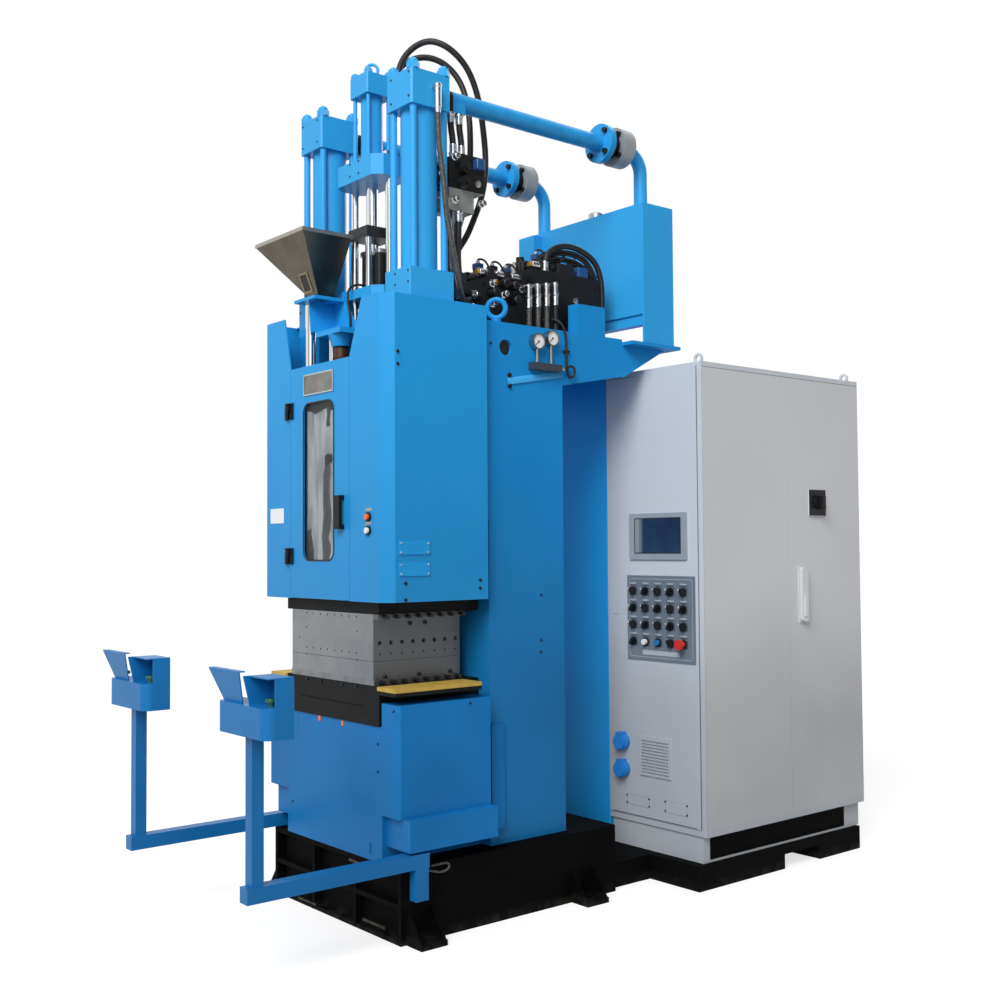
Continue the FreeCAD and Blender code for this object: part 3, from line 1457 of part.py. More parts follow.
# ------------------------------------------------------------------ control cabinet
def build_cabinet_body():
    """Cabinet carcass: open to the front panel and to the doors on the right."""
    body = block(cab_left, cab_right, cab_front, cab_rear, cab_low, cab_high)
    inside = block(cab_left + cab_wall, cab_right - cab_door - cab_gap, cab_front + cab_wall, cab_rear - cab_wall,
                   cab_low + cab_wall, cab_high - cab_wall)
    sill = cab_low + cab_sill
    roof = cab_high - cab_wall
    door_hole = block(cab_right - cab_door - cab_gap, cab_right, cab_front + cab_gap, cab_rear - cab_gap, sill, roof)
    throat = block(cab_right - 3 * cab_wall, cab_right - cab_door - cab_gap + 1, cab_front + cab_wall + cab_post,
                   cab_rear - cab_wall - cab_post, sill + cab_wall, roof - cab_wall)
    front_hole = block(cab_left + cab_wall, cab_right - cab_post - cab_wall, cab_front, cab_front + cab_wall + 1,
                       sill + cab_wall, roof)
    body = body.cut(inside).cut(door_hole).cut(throat).cut(front_hole)
    plinth = block(cab_left + plinth_inset, cab_right - cab_post, cab_front + plinth_inset, cab_rear - plinth_inset,
                   cab_base_height, cab_low)
    tray = block(cab_left + cab_wall, cab_left + cab_wall + 6, cab_front + 120, cab_rear - 120,
                 cab_low + 150, cab_high - 150)
    pieces = [body, plinth, tray]
    for x in (cab_left + eye_inset * 0.6, cab_right - eye_inset * 1.3):
        for y in (cab_front + eye_inset, cab_rear - eye_inset * 0.6):
            eye = rod_y(x, y, y + eye_thick, cab_high + eye_outer / 2 - 2, eye_outer)
            eye = eye.cut(rod_y(x, y, y + eye_thick, cab_high + eye_outer / 2 - 2, eye_hole))
            pieces.append(eye.fuse(rod_z(x, y + eye_thick / 2, cab_high, cab_high + 6, eye_outer * 0.6)))
    return fuse_all(pieces)


def build_cabinet_base():
    """Low skid under the cabinet: two box beams, the bridge over the fork pocket, and the link forward."""
    beams = [block(cab_base_left, cab_base_right, cab_base_front, fork_front, 0, cab_base_height),
             block(cab_base_left, cab_base_right, fork_rear, cab_base_rear, 0, cab_base_height),
             block(cab_base_left, cab_base_right, fork_front, fork_rear, fork_height, cab_base_height)]
    return beams + [block(link_left, link_right, base_rear, cab_base_front, 0, cab_base_height)]


def build_front_panel():
    """Fixed front panel with the ventilation grille and seats for the controls."""
    sill = cab_low + cab_sill
    panel = block(cab_left + cab_gap, cab_right - cab_post - cab_gap, cab_front - panel_thick, cab_front,
                  sill, cab_high - cab_gap)
    front = cab_front - panel_thick
    grille = block(grille_left, grille_right, front - grille_depth, front, grille_low, grille_high)
    pitch = (grille_high - grille_low - 20) / slot_count
    for k in range(slot_count):
        z = grille_low + 10 + k * pitch
        grille = grille.cut(block(grille_left + 10, grille_right - 10, front - grille_depth, front, z, z + slot_height))
    return fuse_all([panel, grille])


def build_sockets():
    """Two round service sockets with hinged lids, lids fused shut."""
    front = cab_front - panel_thick
    shapes = []
    for k in range(2):
        z = socket_low_z + k * socket_step
        base = rod_y(socket_x, front - socket_depth, front, z, socket_dia)
        lid = rod_y(socket_x, front - socket_depth - 8, front - socket_depth, z, socket_dia - 10)
        lug = block(socket_x - 14, socket_x + 14, front - socket_depth - 8, front, z + socket_dia / 2 - 6,
                    z + socket_dia / 2 + 6)
        shapes.append(fuse_all([base, lid, lug]))
    return shapes


def build_hmi():
    """Operator screen: bezel with a sunk pane."""
    front = cab_front - panel_thick
    bezel = block(hmi_left, hmi_right, front - hmi_depth, front, hmi_low, hmi_high)
    edges = [e for e in bezel.Edges if abs(e.BoundBox.YMax - e.BoundBox.YMin) > 1]
    bezel = bezel.makeFillet(6, edges)
    return bezel.cut(block(hmi_left + screen_margin, hmi_right - screen_margin, front - hmi_depth,
                           front - hmi_depth + screen_sink, hmi_low + screen_margin * 0.9,
                           hmi_high - screen_margin * 0.8))


def knob_place(column, row):
    """Centre of a control on the operator's board."""
    return knob_first_x + column * knob_pitch, knob_first_z - row * knob_pitch


def board_front():
    """Front face of the operator's board."""
    return cab_front - 2 * panel_thick


special = {(1, 3): "white", (2, 3): "blue", (4, 3): "stop"}


def build_board():
    """Operator's board with its selector knobs, and collars for the push buttons."""
    front = board_front()
    board = block(board_left, board_right, front, front + panel_thick, board_low, board_high)
    pieces = [board]
    holes = []
    for row in range(knob_rows):
        for column in range(knob_columns):
            x, z = knob_place(column, row)
            pieces.append(rod_y(x, front - knob_base, front, z, knob_dia))
            if (column, row) in special:
                holes.append(rod_y(x, front - knob_base, front + panel_thick, z, push_dia + 2 * running_gap))
            else:
                grip = block(x - knob_grip_width / 2, x + knob_grip_width / 2, front - knob_base - knob_grip,
                             front - knob_base, z - knob_dia * 0.42, z + knob_dia * 0.42)
                grip.rotate(V(x, 0, z), V(0, 1, 0), 25 if (row + column) % 2 else -25)
                pieces.append(grip)
    return fuse_all(pieces).cut(Part.makeCompound(holes))


def push_button(column, row, head, reach):
    """Push button in the operator's board; a wide head stands clear of the collar."""
    front = board_front()
    x, z = knob_place(column, row)
    stem = rod_y(x, front - knob_base - reach, front, z, push_dia)
    if head <= push_dia:
        return stem
    cap_depth_y = 12.0
    cap = rod_y(x, front - knob_base - reach, front - knob_base - reach + cap_depth_y, z, head)
    return fuse_all([stem, cap])


def cabinet_door(y0, y1):
    """Right-hand door leaf: folded pan."""
    sill = cab_low + cab_sill
    roof = cab_high - cab_wall - cab_gap
    leaf = block(cab_right - cab_door, cab_right, y0, y1, sill, roof)
    rim = 16.0
    pocket = block(cab_right - cab_door, cab_right - 3, y0 + rim, y1 - rim, sill + rim, roof - rim)
    return leaf.cut(pocket)


def build_rear_leaf():
    """Rear door leaf with the plates of the main switch and of the lever handle."""
    leaf = cabinet_door(door_split + cab_gap / 2, cab_rear - 2 * cab_gap)
    half = switch_plate / 2
    plate = block(cab_right, cab_right + switch_plate_thick, switch_y - half, switch_y + half,
                  switch_z - half, switch_z + half)
    low = lever_high - lever_length
    seat = block(cab_right, cab_right + lever_plate, lever_y - lever_width / 2 - 5, lever_y + lever_width / 2 + 5,
                 low - 6, lever_high + 6)
    return fuse_all([leaf, plate, seat])


def build_lever():
    """Lever handle lying on its plate, pivoted near its top."""
    x0 = cab_right + lever_plate + running_gap
    low = lever_high - lever_length
    bar = block(x0, x0 + lever_thick, lever_y - lever_width / 2, lever_y + lever_width / 2, low, lever_high)
    edges = [e for e in bar.Edges if abs(e.BoundBox.XMax - e.BoundBox.XMin) > 1]
    bar = bar.makeFillet(lever_width * 0.35, edges)
    thumb = block(x0 + lever_thick, x0 + lever_thick + 6, lever_y - 11, lever_y + 11, low + 24, low + 110)
    return fuse_all([bar, thumb])


def build_switch():
    """Main switch knob: round base with a grip bar and pointer."""
    x0 = cab_right + switch_plate_thick + running_gap
    base = rod_x(x0, x0 + 12, switch_y, switch_z, switch_knob)
    grip = block(x0 + 12, x0 + switch_knob_depth, switch_y - 10, switch_y + 10,
                 switch_z - switch_knob * 0.46, switch_z + switch_knob * 0.46)
    return fuse_all([base, grip])


# ------------------------------------------------------------------ write every node
save("base_frame", build_base())
save("c_frame", build_frame() + [build_lift_ring(), build_guard_box()])
save("lower_housing", build_housing())
save("side_covers", build_side_covers())
save("lower_table", build_table())
save("insulation_boards", build_boards())
save("lower_heating_plate", build_lower_heating())
save("lower_mould_half", build_lower_mould())
save("upper_mould_half", build_upper_mould())
save("upper_platen", build_platen())
save("clamp_blocks", for_both_cylinders(clamp_block))
save("clamp_barrels", for_both_cylinders(clamp_barrel))
save("clamp_caps", for_both_cylinders(clamp_cap))
save("clamp_tie_rods", build_tie_rods())
save("clamp_rods", for_both_cylinders(clamp_rod_shape))
save("injection_crossheads", build_crosshead())
save("injection_columns", build_columns())
save("injection_cylinder", build_injection_cylinder())
save("barrels", build_shot_barrel() + [build_feed_barrel()])
save("plunger", build_plunger())
save("hopper", build_hopper())
save("hopper_bracket", build_bracket())
save("upper_cover", build_hood())
save("cover_button_orange", build_cover_button(orange_z))
save("cover_button_white", build_cover_button(white_z))
save("front_door", build_door())
save("door_window", build_pane())
save("prefill_pipes", for_both_cylinders(prefill_pipe_shape))
save("tank_pipes", for_both_cylinders(tank_pipe_shape))
save("flange_bolts", build_flange_bolts())
save("oil_tank", build_tank())
save("breather_cap", build_breather())
save("power_pack_cover", build_pack_cover())
save("valve_manifold", build_manifold())
save("solenoid_valves", build_valves())
save("hose_fittings", build_fittings())
save("fixed_hoses", build_fixed_hoses())
save("loop_hoses", build_loop_hoses())
save("pressure_gauges", build_gauges())
save("gauge_needle_front", build_needle(0))
save("gauge_needle_rear", build_needle(1))
save("console_arms", for_both_cylinders(console_arm))
lefts = console_lefts()
save("console_boxes", [console_box(lefts["left"]), console_box(lefts["right"])])
for name, left in lefts.items():
    save("start_button_" + name, palm_button(left + box_width - start_from_right))
    save("stop_button_" + name, palm_button(left + stop_from_left))
save("cabinet_body", build_cabinet_body())
save("cabinet_base", build_cabinet_base())
save("cabinet_front_panel", build_front_panel())
save("service_sockets", build_sockets())
save("hmi_screen", build_hmi())
save("operator_board", build_board())
save("panel_button_white", push_button(1, 3, push_dia, push_reach))
save("panel_button_blue", push_button(2, 3, push_dia, push_reach))
save("emergency_stop", push_button(4, 3, stop_dia, stop_reach))
save("cabinet_door_front", cabinet_door(cab_front + 2 * cab_gap, door_split - cab_gap / 2))
save("cabinet_door_rear", build_rear_leaf())
save("cabinet_handle", build_lever())
save("main_switch", build_switch())
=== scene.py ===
"""Looks of a vertical injection moulding machine with its control cabinet.

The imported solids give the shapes; this script gives them their finishes and adds the
thin trim, fasteners, hoses and instrument faces. Metres, +Z up, the operator stands at -Y.
"""
import logging
import math
from dataclasses import dataclass, replace
from enum import Enum

import bmesh
import bpy
import numpy as np
from mathutils import Matrix, Vector


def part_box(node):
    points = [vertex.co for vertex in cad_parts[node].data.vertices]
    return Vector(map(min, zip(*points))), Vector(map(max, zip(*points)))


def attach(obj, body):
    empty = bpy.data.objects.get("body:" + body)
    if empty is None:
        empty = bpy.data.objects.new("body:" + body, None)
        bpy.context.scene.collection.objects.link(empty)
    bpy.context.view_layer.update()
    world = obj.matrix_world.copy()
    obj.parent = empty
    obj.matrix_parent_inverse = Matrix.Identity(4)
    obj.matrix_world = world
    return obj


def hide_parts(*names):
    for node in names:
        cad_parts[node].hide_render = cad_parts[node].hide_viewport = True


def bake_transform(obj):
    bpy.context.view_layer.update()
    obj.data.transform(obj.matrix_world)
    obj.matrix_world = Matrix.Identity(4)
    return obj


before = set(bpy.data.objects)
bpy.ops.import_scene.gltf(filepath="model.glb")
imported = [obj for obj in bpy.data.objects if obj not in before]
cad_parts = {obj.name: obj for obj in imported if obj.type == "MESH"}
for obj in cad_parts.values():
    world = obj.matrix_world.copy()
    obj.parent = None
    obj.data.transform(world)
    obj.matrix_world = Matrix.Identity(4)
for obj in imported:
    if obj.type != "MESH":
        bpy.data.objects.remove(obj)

log = logging.getLogger("moulding_machine")
Array = np.ndarray
Point = tuple[float, float, float]
MM = 0.001
FRONT: Point = (0.0, -1.0, 0.0)
RIGHT: Point = (1.0, 0.0, 0.0)
LEFT: Point = (-1.0, 0.0, 0.0)
UP: Point = (0.0, 0.0, 1.0)
WHITE = (1.0, 1.0, 1.0, 1.0)
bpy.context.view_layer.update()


# ---------------------------------------------------------------- surfaces
@dataclass
class Surface:
    """A mesh held as arrays: corner points and one index array per face size."""

    points: Array
    faces: list[Array]

    def placed(self, origin: Point, normal: Point = (0, 0, 1), up: Point = (0, 1, 0)) -> "Surface":
        """Carries local x, y, z onto right, up and normal: p = origin + x*right + y*up + z*normal.

        Args:
            origin: where the local origin goes.
            normal: direction of local z.
            up: direction of local y, made square to the normal.

        Returns:
            The surface in the machine's frame.
        """
        z_axis = np.array(normal, float)
        z_axis /= np.linalg.norm(z_axis)
        y_axis = np.array(up, float)
        y_axis -= z_axis * (y_axis @ z_axis)
        y_axis /= np.linalg.norm(y_axis)
        basis = np.stack([np.cross(y_axis, z_axis), y_axis, z_axis])
        return Surface(self.points @ basis + np.array(origin, float), self.faces)

    def moved(self, step: Point) -> "Surface":
        """The surface shifted by a step."""
        return Surface(self.points + np.array(step, float), self.faces)

    def scattered(self, places: Array) -> "Surface":
        """One copy at each place: points are broadcast, faces shifted by whole copies.

        Args:
            places: (n, 3) offsets.

        Returns:
            All the copies as one surface.
        """
        places = np.asarray(places, float).reshape(-1, 3)
        count = len(self.points)
        points = (self.points[None] + places[:, None]).reshape(-1, 3)
        shift = np.arange(len(places)) * count
        faces = [(f[None] + shift[:, None, None]).reshape(-1, f.shape[1]) for f in self.faces]
        return Surface(points, faces)


def joined(*parts: Surface) -> Surface:
    """Several surfaces as one, with their face indices shifted in turn."""
    starts = np.cumsum([0] + [len(p.points) for p in parts[:-1]])
    faces = [f + start for p, start in zip(parts, starts) for f in p.faces]
    return Surface(np.concatenate([p.points for p in parts]), faces)


def grid_faces(rows: int, columns: int, wrap: bool) -> Array:
    """Quads between neighbouring rows of a grid; wrap closes each row on itself."""
    column = np.arange(columns if wrap else columns - 1)
    row = np.arange(rows - 1)[:, None] * columns
    after = (column + 1) % columns
    return np.stack([row + column, row + after, row + columns + after, row + columns + column],
                    -1).reshape(-1, 4)


def revolved(profile: list[tuple[float, float]], segments: int = 28) -> Surface:
    """Solid of revolution about local z: (r cos a, r sin a, h) for each profile pair (r, h).

    Args:
        profile: radius and height pairs, from the axis back to the axis.
        segments: number of steps round the axis.

    Returns:
        The closed surface, its poles still doubled.
    """
    radius, height = np.array(profile, float).T[:, :, None]
    angle = np.linspace(0, 2 * math.pi, segments, endpoint=False)
    points = np.stack([radius * np.cos(angle), radius * np.sin(angle), height + 0 * angle], -1)
    return Surface(points.reshape(-1, 3), [grid_faces(len(profile), segments, True)])


def turned(steps: list[tuple[float, float]], segments: int) -> Surface:
    """Solid of revolution that closes flat onto the axis at its first and its last step."""
    return revolved([(0, steps[0][1]), *steps, (0, steps[-1][1])], segments)


def rounded_outline(width: float, height: float, radius: float, steps: int = 5) -> Array:
    """Rectangle with quarter-circle corners, counter-clockwise, centred on the origin."""
    radius = max(min(radius, width / 2 - 1e-5, height / 2 - 1e-5), 1e-5)
    quarter = np.linspace(0, math.pi / 2, steps)
    angle = (quarter[None] + np.arange(4)[:, None] * math.pi / 2).reshape(-1)
    sign_x = np.repeat([1, -1, -1, 1], steps)
    sign_y = np.repeat([1, 1, -1, -1], steps)
    x = sign_x * (width / 2 - radius) + radius * np.cos(angle)
    y = sign_y * (height / 2 - radius) + radius * np.sin(angle)
    return np.stack([x, y], -1)


def lofted(rings: list[Array]) -> Surface:
    """Rings of equal length joined in turn, with a flat cap on the first and the last."""
    count = len(rings[0])
    points = np.concatenate(rings)
    cap = np.arange(count)[None]
    last = cap + (len(rings) - 1) * count
    return Surface(points, [grid_faces(len(rings), count, True), cap[:, ::-1], last])


def slab(width: float, height: float, thick: float, radius: float, bevel: float = 0.0006) -> Surface:
    """Rounded plate standing on local z = 0, its two rims drawn in by a bevel."""
    rings = []
    for inset, level in ((0.0, 0.0), (0.0, thick - bevel), (bevel, thick)):
        outline = rounded_outline(width - 2 * inset, height - 2 * inset, radius - inset)
        rings.append(np.column_stack([outline, np.full(len(outline), level)]))
    return lofted(rings)


def frame_strip(width: float, height: float, rim: float, thick: float, radius: float) -> Surface:
    """Flat ring between an outer and an inner rounded rectangle, with its own thickness."""
    outer = rounded_outline(width, height, radius)
    inner = rounded_outline(width - 2 * rim, height - 2 * rim, radius - rim)
    rings = [(outer, 0.0), (outer, thick), (inner, thick), (inner, 0.0), (outer, 0.0)]
    points = np.concatenate([np.column_stack([o, np.full(len(o), z)]) for o, z in rings])
    return Surface(points, [grid_faces(5, len(outer), True)])


def smooth_line(route: list[Point], detail: int = 10) -> Array:
    """Points of the NURBS spline of order 3 that has the route as its control points.

    Args:
        route: control points from end to end.
        detail: points per control span.

    Returns:
        (n, 3) points along the line.
    """
    curve = bpy.data.curves.new("route", "CURVE")
    curve.dimensions = "3D"
    curve.resolution_u = detail
    spline = curve.splines.new("NURBS")
    spline.points.add(len(route) - 1)
    spline.points.foreach_set("co", np.column_stack([route, np.ones(len(route))]).ravel())
    spline.order_u = 3
    spline.use_endpoint_u = True
    holder = bpy.data.objects.new("route", curve)
    mesh = bpy.data.meshes.new_from_object(holder)
    line = np.zeros(len(mesh.vertices) * 3)
    mesh.vertices.foreach_get("co", line)
    bpy.data.objects.remove(holder)
    bpy.data.curves.remove(curve)
    bpy.data.meshes.remove(mesh)
    return line.reshape(-1, 3)


def swept(line: Array, radius: Array | float, segments: int = 14) -> Surface:
    """Round tube along a line: c(s) + r(s) (cos a side + sin a over), the side vector carried parallel.

    Args:
        line: (n, 3) centre points.
        radius: one radius, or one per centre point.
        segments: steps round the tube.

    Returns:
        The tube with its two ends capped.
    """
    tangent = np.gradient(line, axis=0)
    tangent /= np.linalg.norm(tangent, axis=1)[:, None]
    side = np.cross(tangent[0], [0.31, 0.53, 0.79])
    sides = []
    for t in tangent:
        side = side - t * (side @ t)
        side = side / np.linalg.norm(side)
        sides.append(side)
    sides = np.array(sides)
    over = np.cross(tangent, sides)
    angle = np.linspace(0, 2 * math.pi, segments, endpoint=False)[None, :, None]
    size = np.broadcast_to(np.asarray(radius, float).reshape(-1, 1, 1), (len(line), 1, 1))
    ring = line[:, None] + size * (np.cos(angle) * sides[:, None] + np.sin(angle) * over[:, None])
    return lofted(list(ring))


def screw_head(radius: float, height: float, segments: int = 16) -> Surface:
    """Socket cap screw: a cylinder with a broken rim and a round socket, standing on local z = 0."""
    rim = radius * 0.16
    socket = radius * 0.52
    return revolved([(0, -0.001), (radius, -0.001), (radius, height - rim), (radius - rim, height),
                     (socket, height), (socket * 0.94, height * 0.45), (0, height * 0.45)], segments)


def row(surface: Surface, places: list[Point] | Array) -> Surface:
    """One copy of a surface at each of a list of places."""
    return surface.scattered(np.array(places, float))


def facing(surface: Surface, normal: Point) -> Surface:
    """A surface turned to a wall's outward direction, about the origin, its own y upright."""
    return surface.placed((0, 0, 0), normal, UP)


def seam(width: float, height: float, normal: Point = FRONT) -> Surface:
    """Hair-thin mark on a wall that stands for a shadow line or a printed one."""
    return facing(slab(width, height, 0.0004, 0.0003, 0.0001), normal)


# ---------------------------------------------------------------- finishes
def linear(code: str) -> tuple[float, float, float, float]:
    """sRGB hex code to linear RGBA."""
    channels = [int(code[i:i + 2], 16) / 255 for i in (1, 3, 5)]
    return tuple(c / 12.92 if c <= 0.04045 else ((c + 0.055) / 1.055) ** 2.4 for c in channels) + (1.0,)


def add(tree: bpy.types.NodeTree, kind: str, settings: dict | None = None,
        inputs: dict | None = None) -> bpy.types.Node:
    """Adds a node, sets its properties, and fills its sockets with values or links.

    Args:
        tree: the material's node tree.
        kind: node type name.
        settings: property values.
        inputs: socket name or number to a value, or to the output socket to link.

    Returns:
        The new node.
    """
    made = tree.nodes.new(kind)
    for key, value in (settings or {}).items():
        setattr(made, key, value)
    for key, value in (inputs or {}).items():
        if isinstance(value, bpy.types.NodeSocket):
            tree.links.new(value, made.inputs[key])
        else:
            made.inputs[key].default_value = value
    return made


def maths(tree: bpy.types.NodeTree, operation: str, *values: bpy.types.NodeSocket | float,
          use_clamp: bool = False) -> bpy.types.NodeSocket:
    """Result of a maths operation on two or three values."""
    settings = {"operation": operation, "use_clamp": use_clamp}
    return add(tree, "ShaderNodeMath", settings, dict(enumerate(values))).outputs[0]


def ramp(tree: bpy.types.NodeTree, value: bpy.types.NodeSocket, span: tuple[float, float],
         result: tuple[float, float], smooth: bool = False) -> bpy.types.NodeSocket:
    """A value carried from one span onto another and held beyond its ends.

    Args:
        tree: the material's node tree.
        value: the value's socket.
        span: where the value starts and ends.
        result: what the span's two ends become.
        smooth: eased at both ends instead of straight.

    Returns:
        The carried value's socket.
    """
    settings = {"interpolation_type": "SMOOTHSTEP"} if smooth else None
    inputs = {"Value": value, 1: span[0], 2: span[1], 3: result[0], 4: result[1]}
    return add(tree, "ShaderNodeMapRange", settings, inputs).outputs[0]


def noise(tree: bpy.types.NodeTree, place: bpy.types.NodeSocket, scale: float,
          detail: float) -> bpy.types.NodeSocket:
    """Noise between 0 and 1 over a place."""
    inputs = {"Vector": place, "Scale": scale, "Detail": detail}
    return add(tree, "ShaderNodeTexNoise", inputs=inputs).outputs["Fac"]


def blended(tree: bpy.types.NodeTree, share: bpy.types.NodeSocket, first: bpy.types.NodeSocket | tuple,
            second: bpy.types.NodeSocket | tuple) -> bpy.types.NodeSocket:
    """Colour that goes from the first to the second with the share."""
    return add(tree, "ShaderNodeMix", {"data_type": "RGBA"}, {0: share, 6: first, 7: second}).outputs[2]


def fresh_material(name: str) -> tuple[bpy.types.Material, bpy.types.NodeTree]:
    """A new material and its empty node tree."""
    material = bpy.data.materials.new(name)
    material.use_nodes = True
    material.node_tree.nodes.clear()
    return material, material.node_tree


class Grain(Enum):
    """Direction and stretch of a surface's fine texture, as scale factors along X, Y and Z."""

    EVEN = (1.0, 1.0, 1.0)
    ALONG_X = (0.02, 1.0, 1.0)
    ALONG_Y = (1.0, 0.02, 1.0)
    ALONG_Z = (1.0, 1.0, 0.02)
    HUNG = (1.0, 1.0, 0.22)


@dataclass(frozen=True)
class Zone:
    """Part of a piece between two planes square to one axis that is finished in another colour."""

    axis: int
    low: float
    high: float
    colour: str
    roughness: float = 0.45
    metallic: float = 0.0


@dataclass(frozen=True)
class Look:
    """Something that a surface can be finished in: a node material of its own name, made once."""

    name: str
    colour: str

    def build(self) -> bpy.types.Material:
        """Makes the node material once and returns it."""
        found = bpy.data.materials.get(self.name)
        if found:
            return found
        material, tree = fresh_material(self.name)
        add(tree, "ShaderNodeOutputMaterial", inputs={"Surface": self.shader(tree)})
        return material

    def shader(self, tree: bpy.types.NodeTree) -> bpy.types.NodeSocket:
        """Fills the tree and returns its shader's socket."""
        raise NotImplementedError


@dataclass(frozen=True)
class Finish(Look):
    """A surface: its base colour in patches, fine grain as bump and gloss, and dust near the floor.

    painted_shade is how much of the colour a painted shade takes away at painted_shade_low and below,
    standing for light that falls off towards the floor; it thins out to nothing at painted_shade_top, with a
    soft uneven edge.
    """

    tint: str
    roughness: float = 0.4
    metallic: float = 0.0
    coat: float = 0.0
    patch_mm: float = 260.0
    patch: float = 0.35
    grain: Grain = Grain.EVEN
    grain_mm: float = 2.0
    depth_mm: float = 0.03
    gloss_spread: float = 0.08
    dust_and_painted_light: str = ""
    dust_height: float = 0.0
    painted_shade: float = 0.0
    painted_shade_top: float = 1.25
    painted_shade_low: float = 0.55
    specular: float = 0.5
    zones: tuple[Zone, ...] = ()

    def shader(self, tree: bpy.types.NodeTree) -> bpy.types.NodeSocket:
        """Patches, then zones, then painted shade towards the floor and dust over the colour; grain in the
        gloss and the bump.
        """
        place = add(tree, "ShaderNodeTexCoord").outputs["Object"]
        drawn = add(tree, "ShaderNodeMapping", inputs={"Vector": place, "Scale": self.grain.value}).outputs[0]
        broad = noise(tree, place, 1 / (self.patch_mm * MM), 4.0)
        fine = noise(tree, drawn, 1 / (self.grain_mm * MM), 3.0)
        axes = add(tree, "ShaderNodeSeparateXYZ", inputs={0: place}).outputs
        share = ramp(tree, broad, (0.35, 0.7), (0.0, self.patch))
        colour = blended(tree, share, linear(self.colour), linear(self.tint))
        dull, bright = self.roughness + self.gloss_spread, max(self.roughness - self.gloss_spread, 0.02)
        gloss = ramp(tree, fine, (0.3, 0.7), (bright, dull))
        metal: bpy.types.NodeSocket | float = self.metallic
        for zone in self.zones:
            above = maths(tree, "GREATER_THAN", axes[zone.axis], zone.low)
            below = maths(tree, "LESS_THAN", axes[zone.axis], zone.high)
            inside = maths(tree, "MULTIPLY", above, below)
            colour = blended(tree, inside, colour, linear(zone.colour))
            gloss = add(tree, "ShaderNodeMix", inputs={0: inside, 2: gloss, 3: zone.roughness}).outputs[0]
            if zone.metallic or self.metallic:
                metal = add(tree, "ShaderNodeMix", inputs={0: inside, 2: metal, 3: zone.metallic}).outputs[0]
        # Painted shade: the colour darkens towards the floor, where less light falls.
        if self.painted_shade:
            low_shade = ramp(tree, axes[2], (self.painted_shade_top, self.painted_shade_low), (0.0, self.painted_shade), smooth=True)
            shade_patchiness = ramp(tree, broad, (0.3, 0.7), (0.85, 1.1))
            shade_share = maths(tree, "MULTIPLY", low_shade, shade_patchiness, use_clamp=True)
            colour = blended(tree, shade_share, colour, PAINTED_SHADE_COLOUR)
        if self.dust_and_painted_light:
            low = ramp(tree, axes[2], (self.dust_height, 0.0), (0.0, 1.0))
            scuff = ramp(tree, noise(tree, place, 22.0, 6.0), (0.45, 0.75), (0.05, 0.5))
            colour = blended(tree, maths(tree, "MULTIPLY", low, scuff), colour, linear(self.dust_and_painted_light))
        relief = {"Height": fine, "Distance": self.depth_mm * MM, "Strength": 1.0}
        bump = add(tree, "ShaderNodeBump", inputs=relief)
        return add(tree, "ShaderNodeBsdfPrincipled", inputs={
            "Base Color": colour, "Roughness": gloss, "Metallic": metal, "IOR": 1.5,
            "Specular IOR Level": self.specular, "Coat Weight": self.coat, "Coat Roughness": 0.08,
            "Normal": bump.outputs[0]}).outputs[0]


@dataclass(frozen=True)
class Shade:
    """A soft-edged rectangle of painted reflection on a sheet, in metres along x and z, and how much light it
    loses.
    """

    left: float
    right: float
    low: float
    high: float
    loss: float


@dataclass(frozen=True)
class PaintedReflectionSheet(Look):
    """Sheet with a painted reflection: dark soft-edged places and upright wavy painted sheen bands.

    A place's share is smooth(min(x - left, right - x, z - low, high - z)), x and z bent by slow noise.
    """

    reflection_dark: str
    shades: tuple[Shade, ...]
    soft: float = 0.007

    def shader(self, tree: bpy.types.NodeTree) -> bpy.types.NodeSocket:
        """Painted sheen bands and painted dark reflection places as shares of the dark colour."""
        place = add(tree, "ShaderNodeTexCoord").outputs["Object"]
        hung = add(tree, "ShaderNodeMapping", inputs={"Vector": place, "Scale": Grain.HUNG.value}).outputs[0]
        slow = add(tree, "ShaderNodeTexNoise", inputs={"Vector": place, "Scale": 11.0, "Detail": 1.0})
        centred = add(tree, "ShaderNodeVectorMath", {"operation": "SUBTRACT"},
                      {0: slow.outputs["Color"], 1: (0.5, 0.5, 0.5)})
        pushed = add(tree, "ShaderNodeVectorMath", {"operation": "SCALE"},
                     {0: centred.outputs[0], "Scale": 0.055})
        bent = add(tree, "ShaderNodeVectorMath", {"operation": "ADD"}, {0: place, 1: pushed.outputs[0]})
        axes = add(tree, "ShaderNodeSeparateXYZ", inputs={0: bent.outputs[0]}).outputs
        # Painted sheen: upright wavy bands.
        share = ramp(tree, noise(tree, hung, 26.0, 1.5), (0.40, 0.66), (0.0, 0.42), smooth=True)
        for shade in self.shades:
            edges = ((0, shade.left, 1.0), (0, shade.right, -1.0), (2, shade.low, 1.0), (2, shade.high, -1.0))
            near = [maths(tree, "MULTIPLY_ADD", axes[axis], sign, -sign * edge) for axis, edge, sign in edges]
            inside = near[0]
            for other in near[1:]:
                inside = maths(tree, "MINIMUM", inside, other)
            depth = ramp(tree, inside, (0.0, self.soft), (0.0, shade.loss), smooth=True)
            share = maths(tree, "MAXIMUM", share, depth)
        return add(tree, "ShaderNodeBsdfPrincipled", inputs={
            "Base Color": blended(tree, share, linear(self.colour), linear(self.reflection_dark)),
            "Roughness": 0.36, "Specular IOR Level": 0.08}).outputs[0]


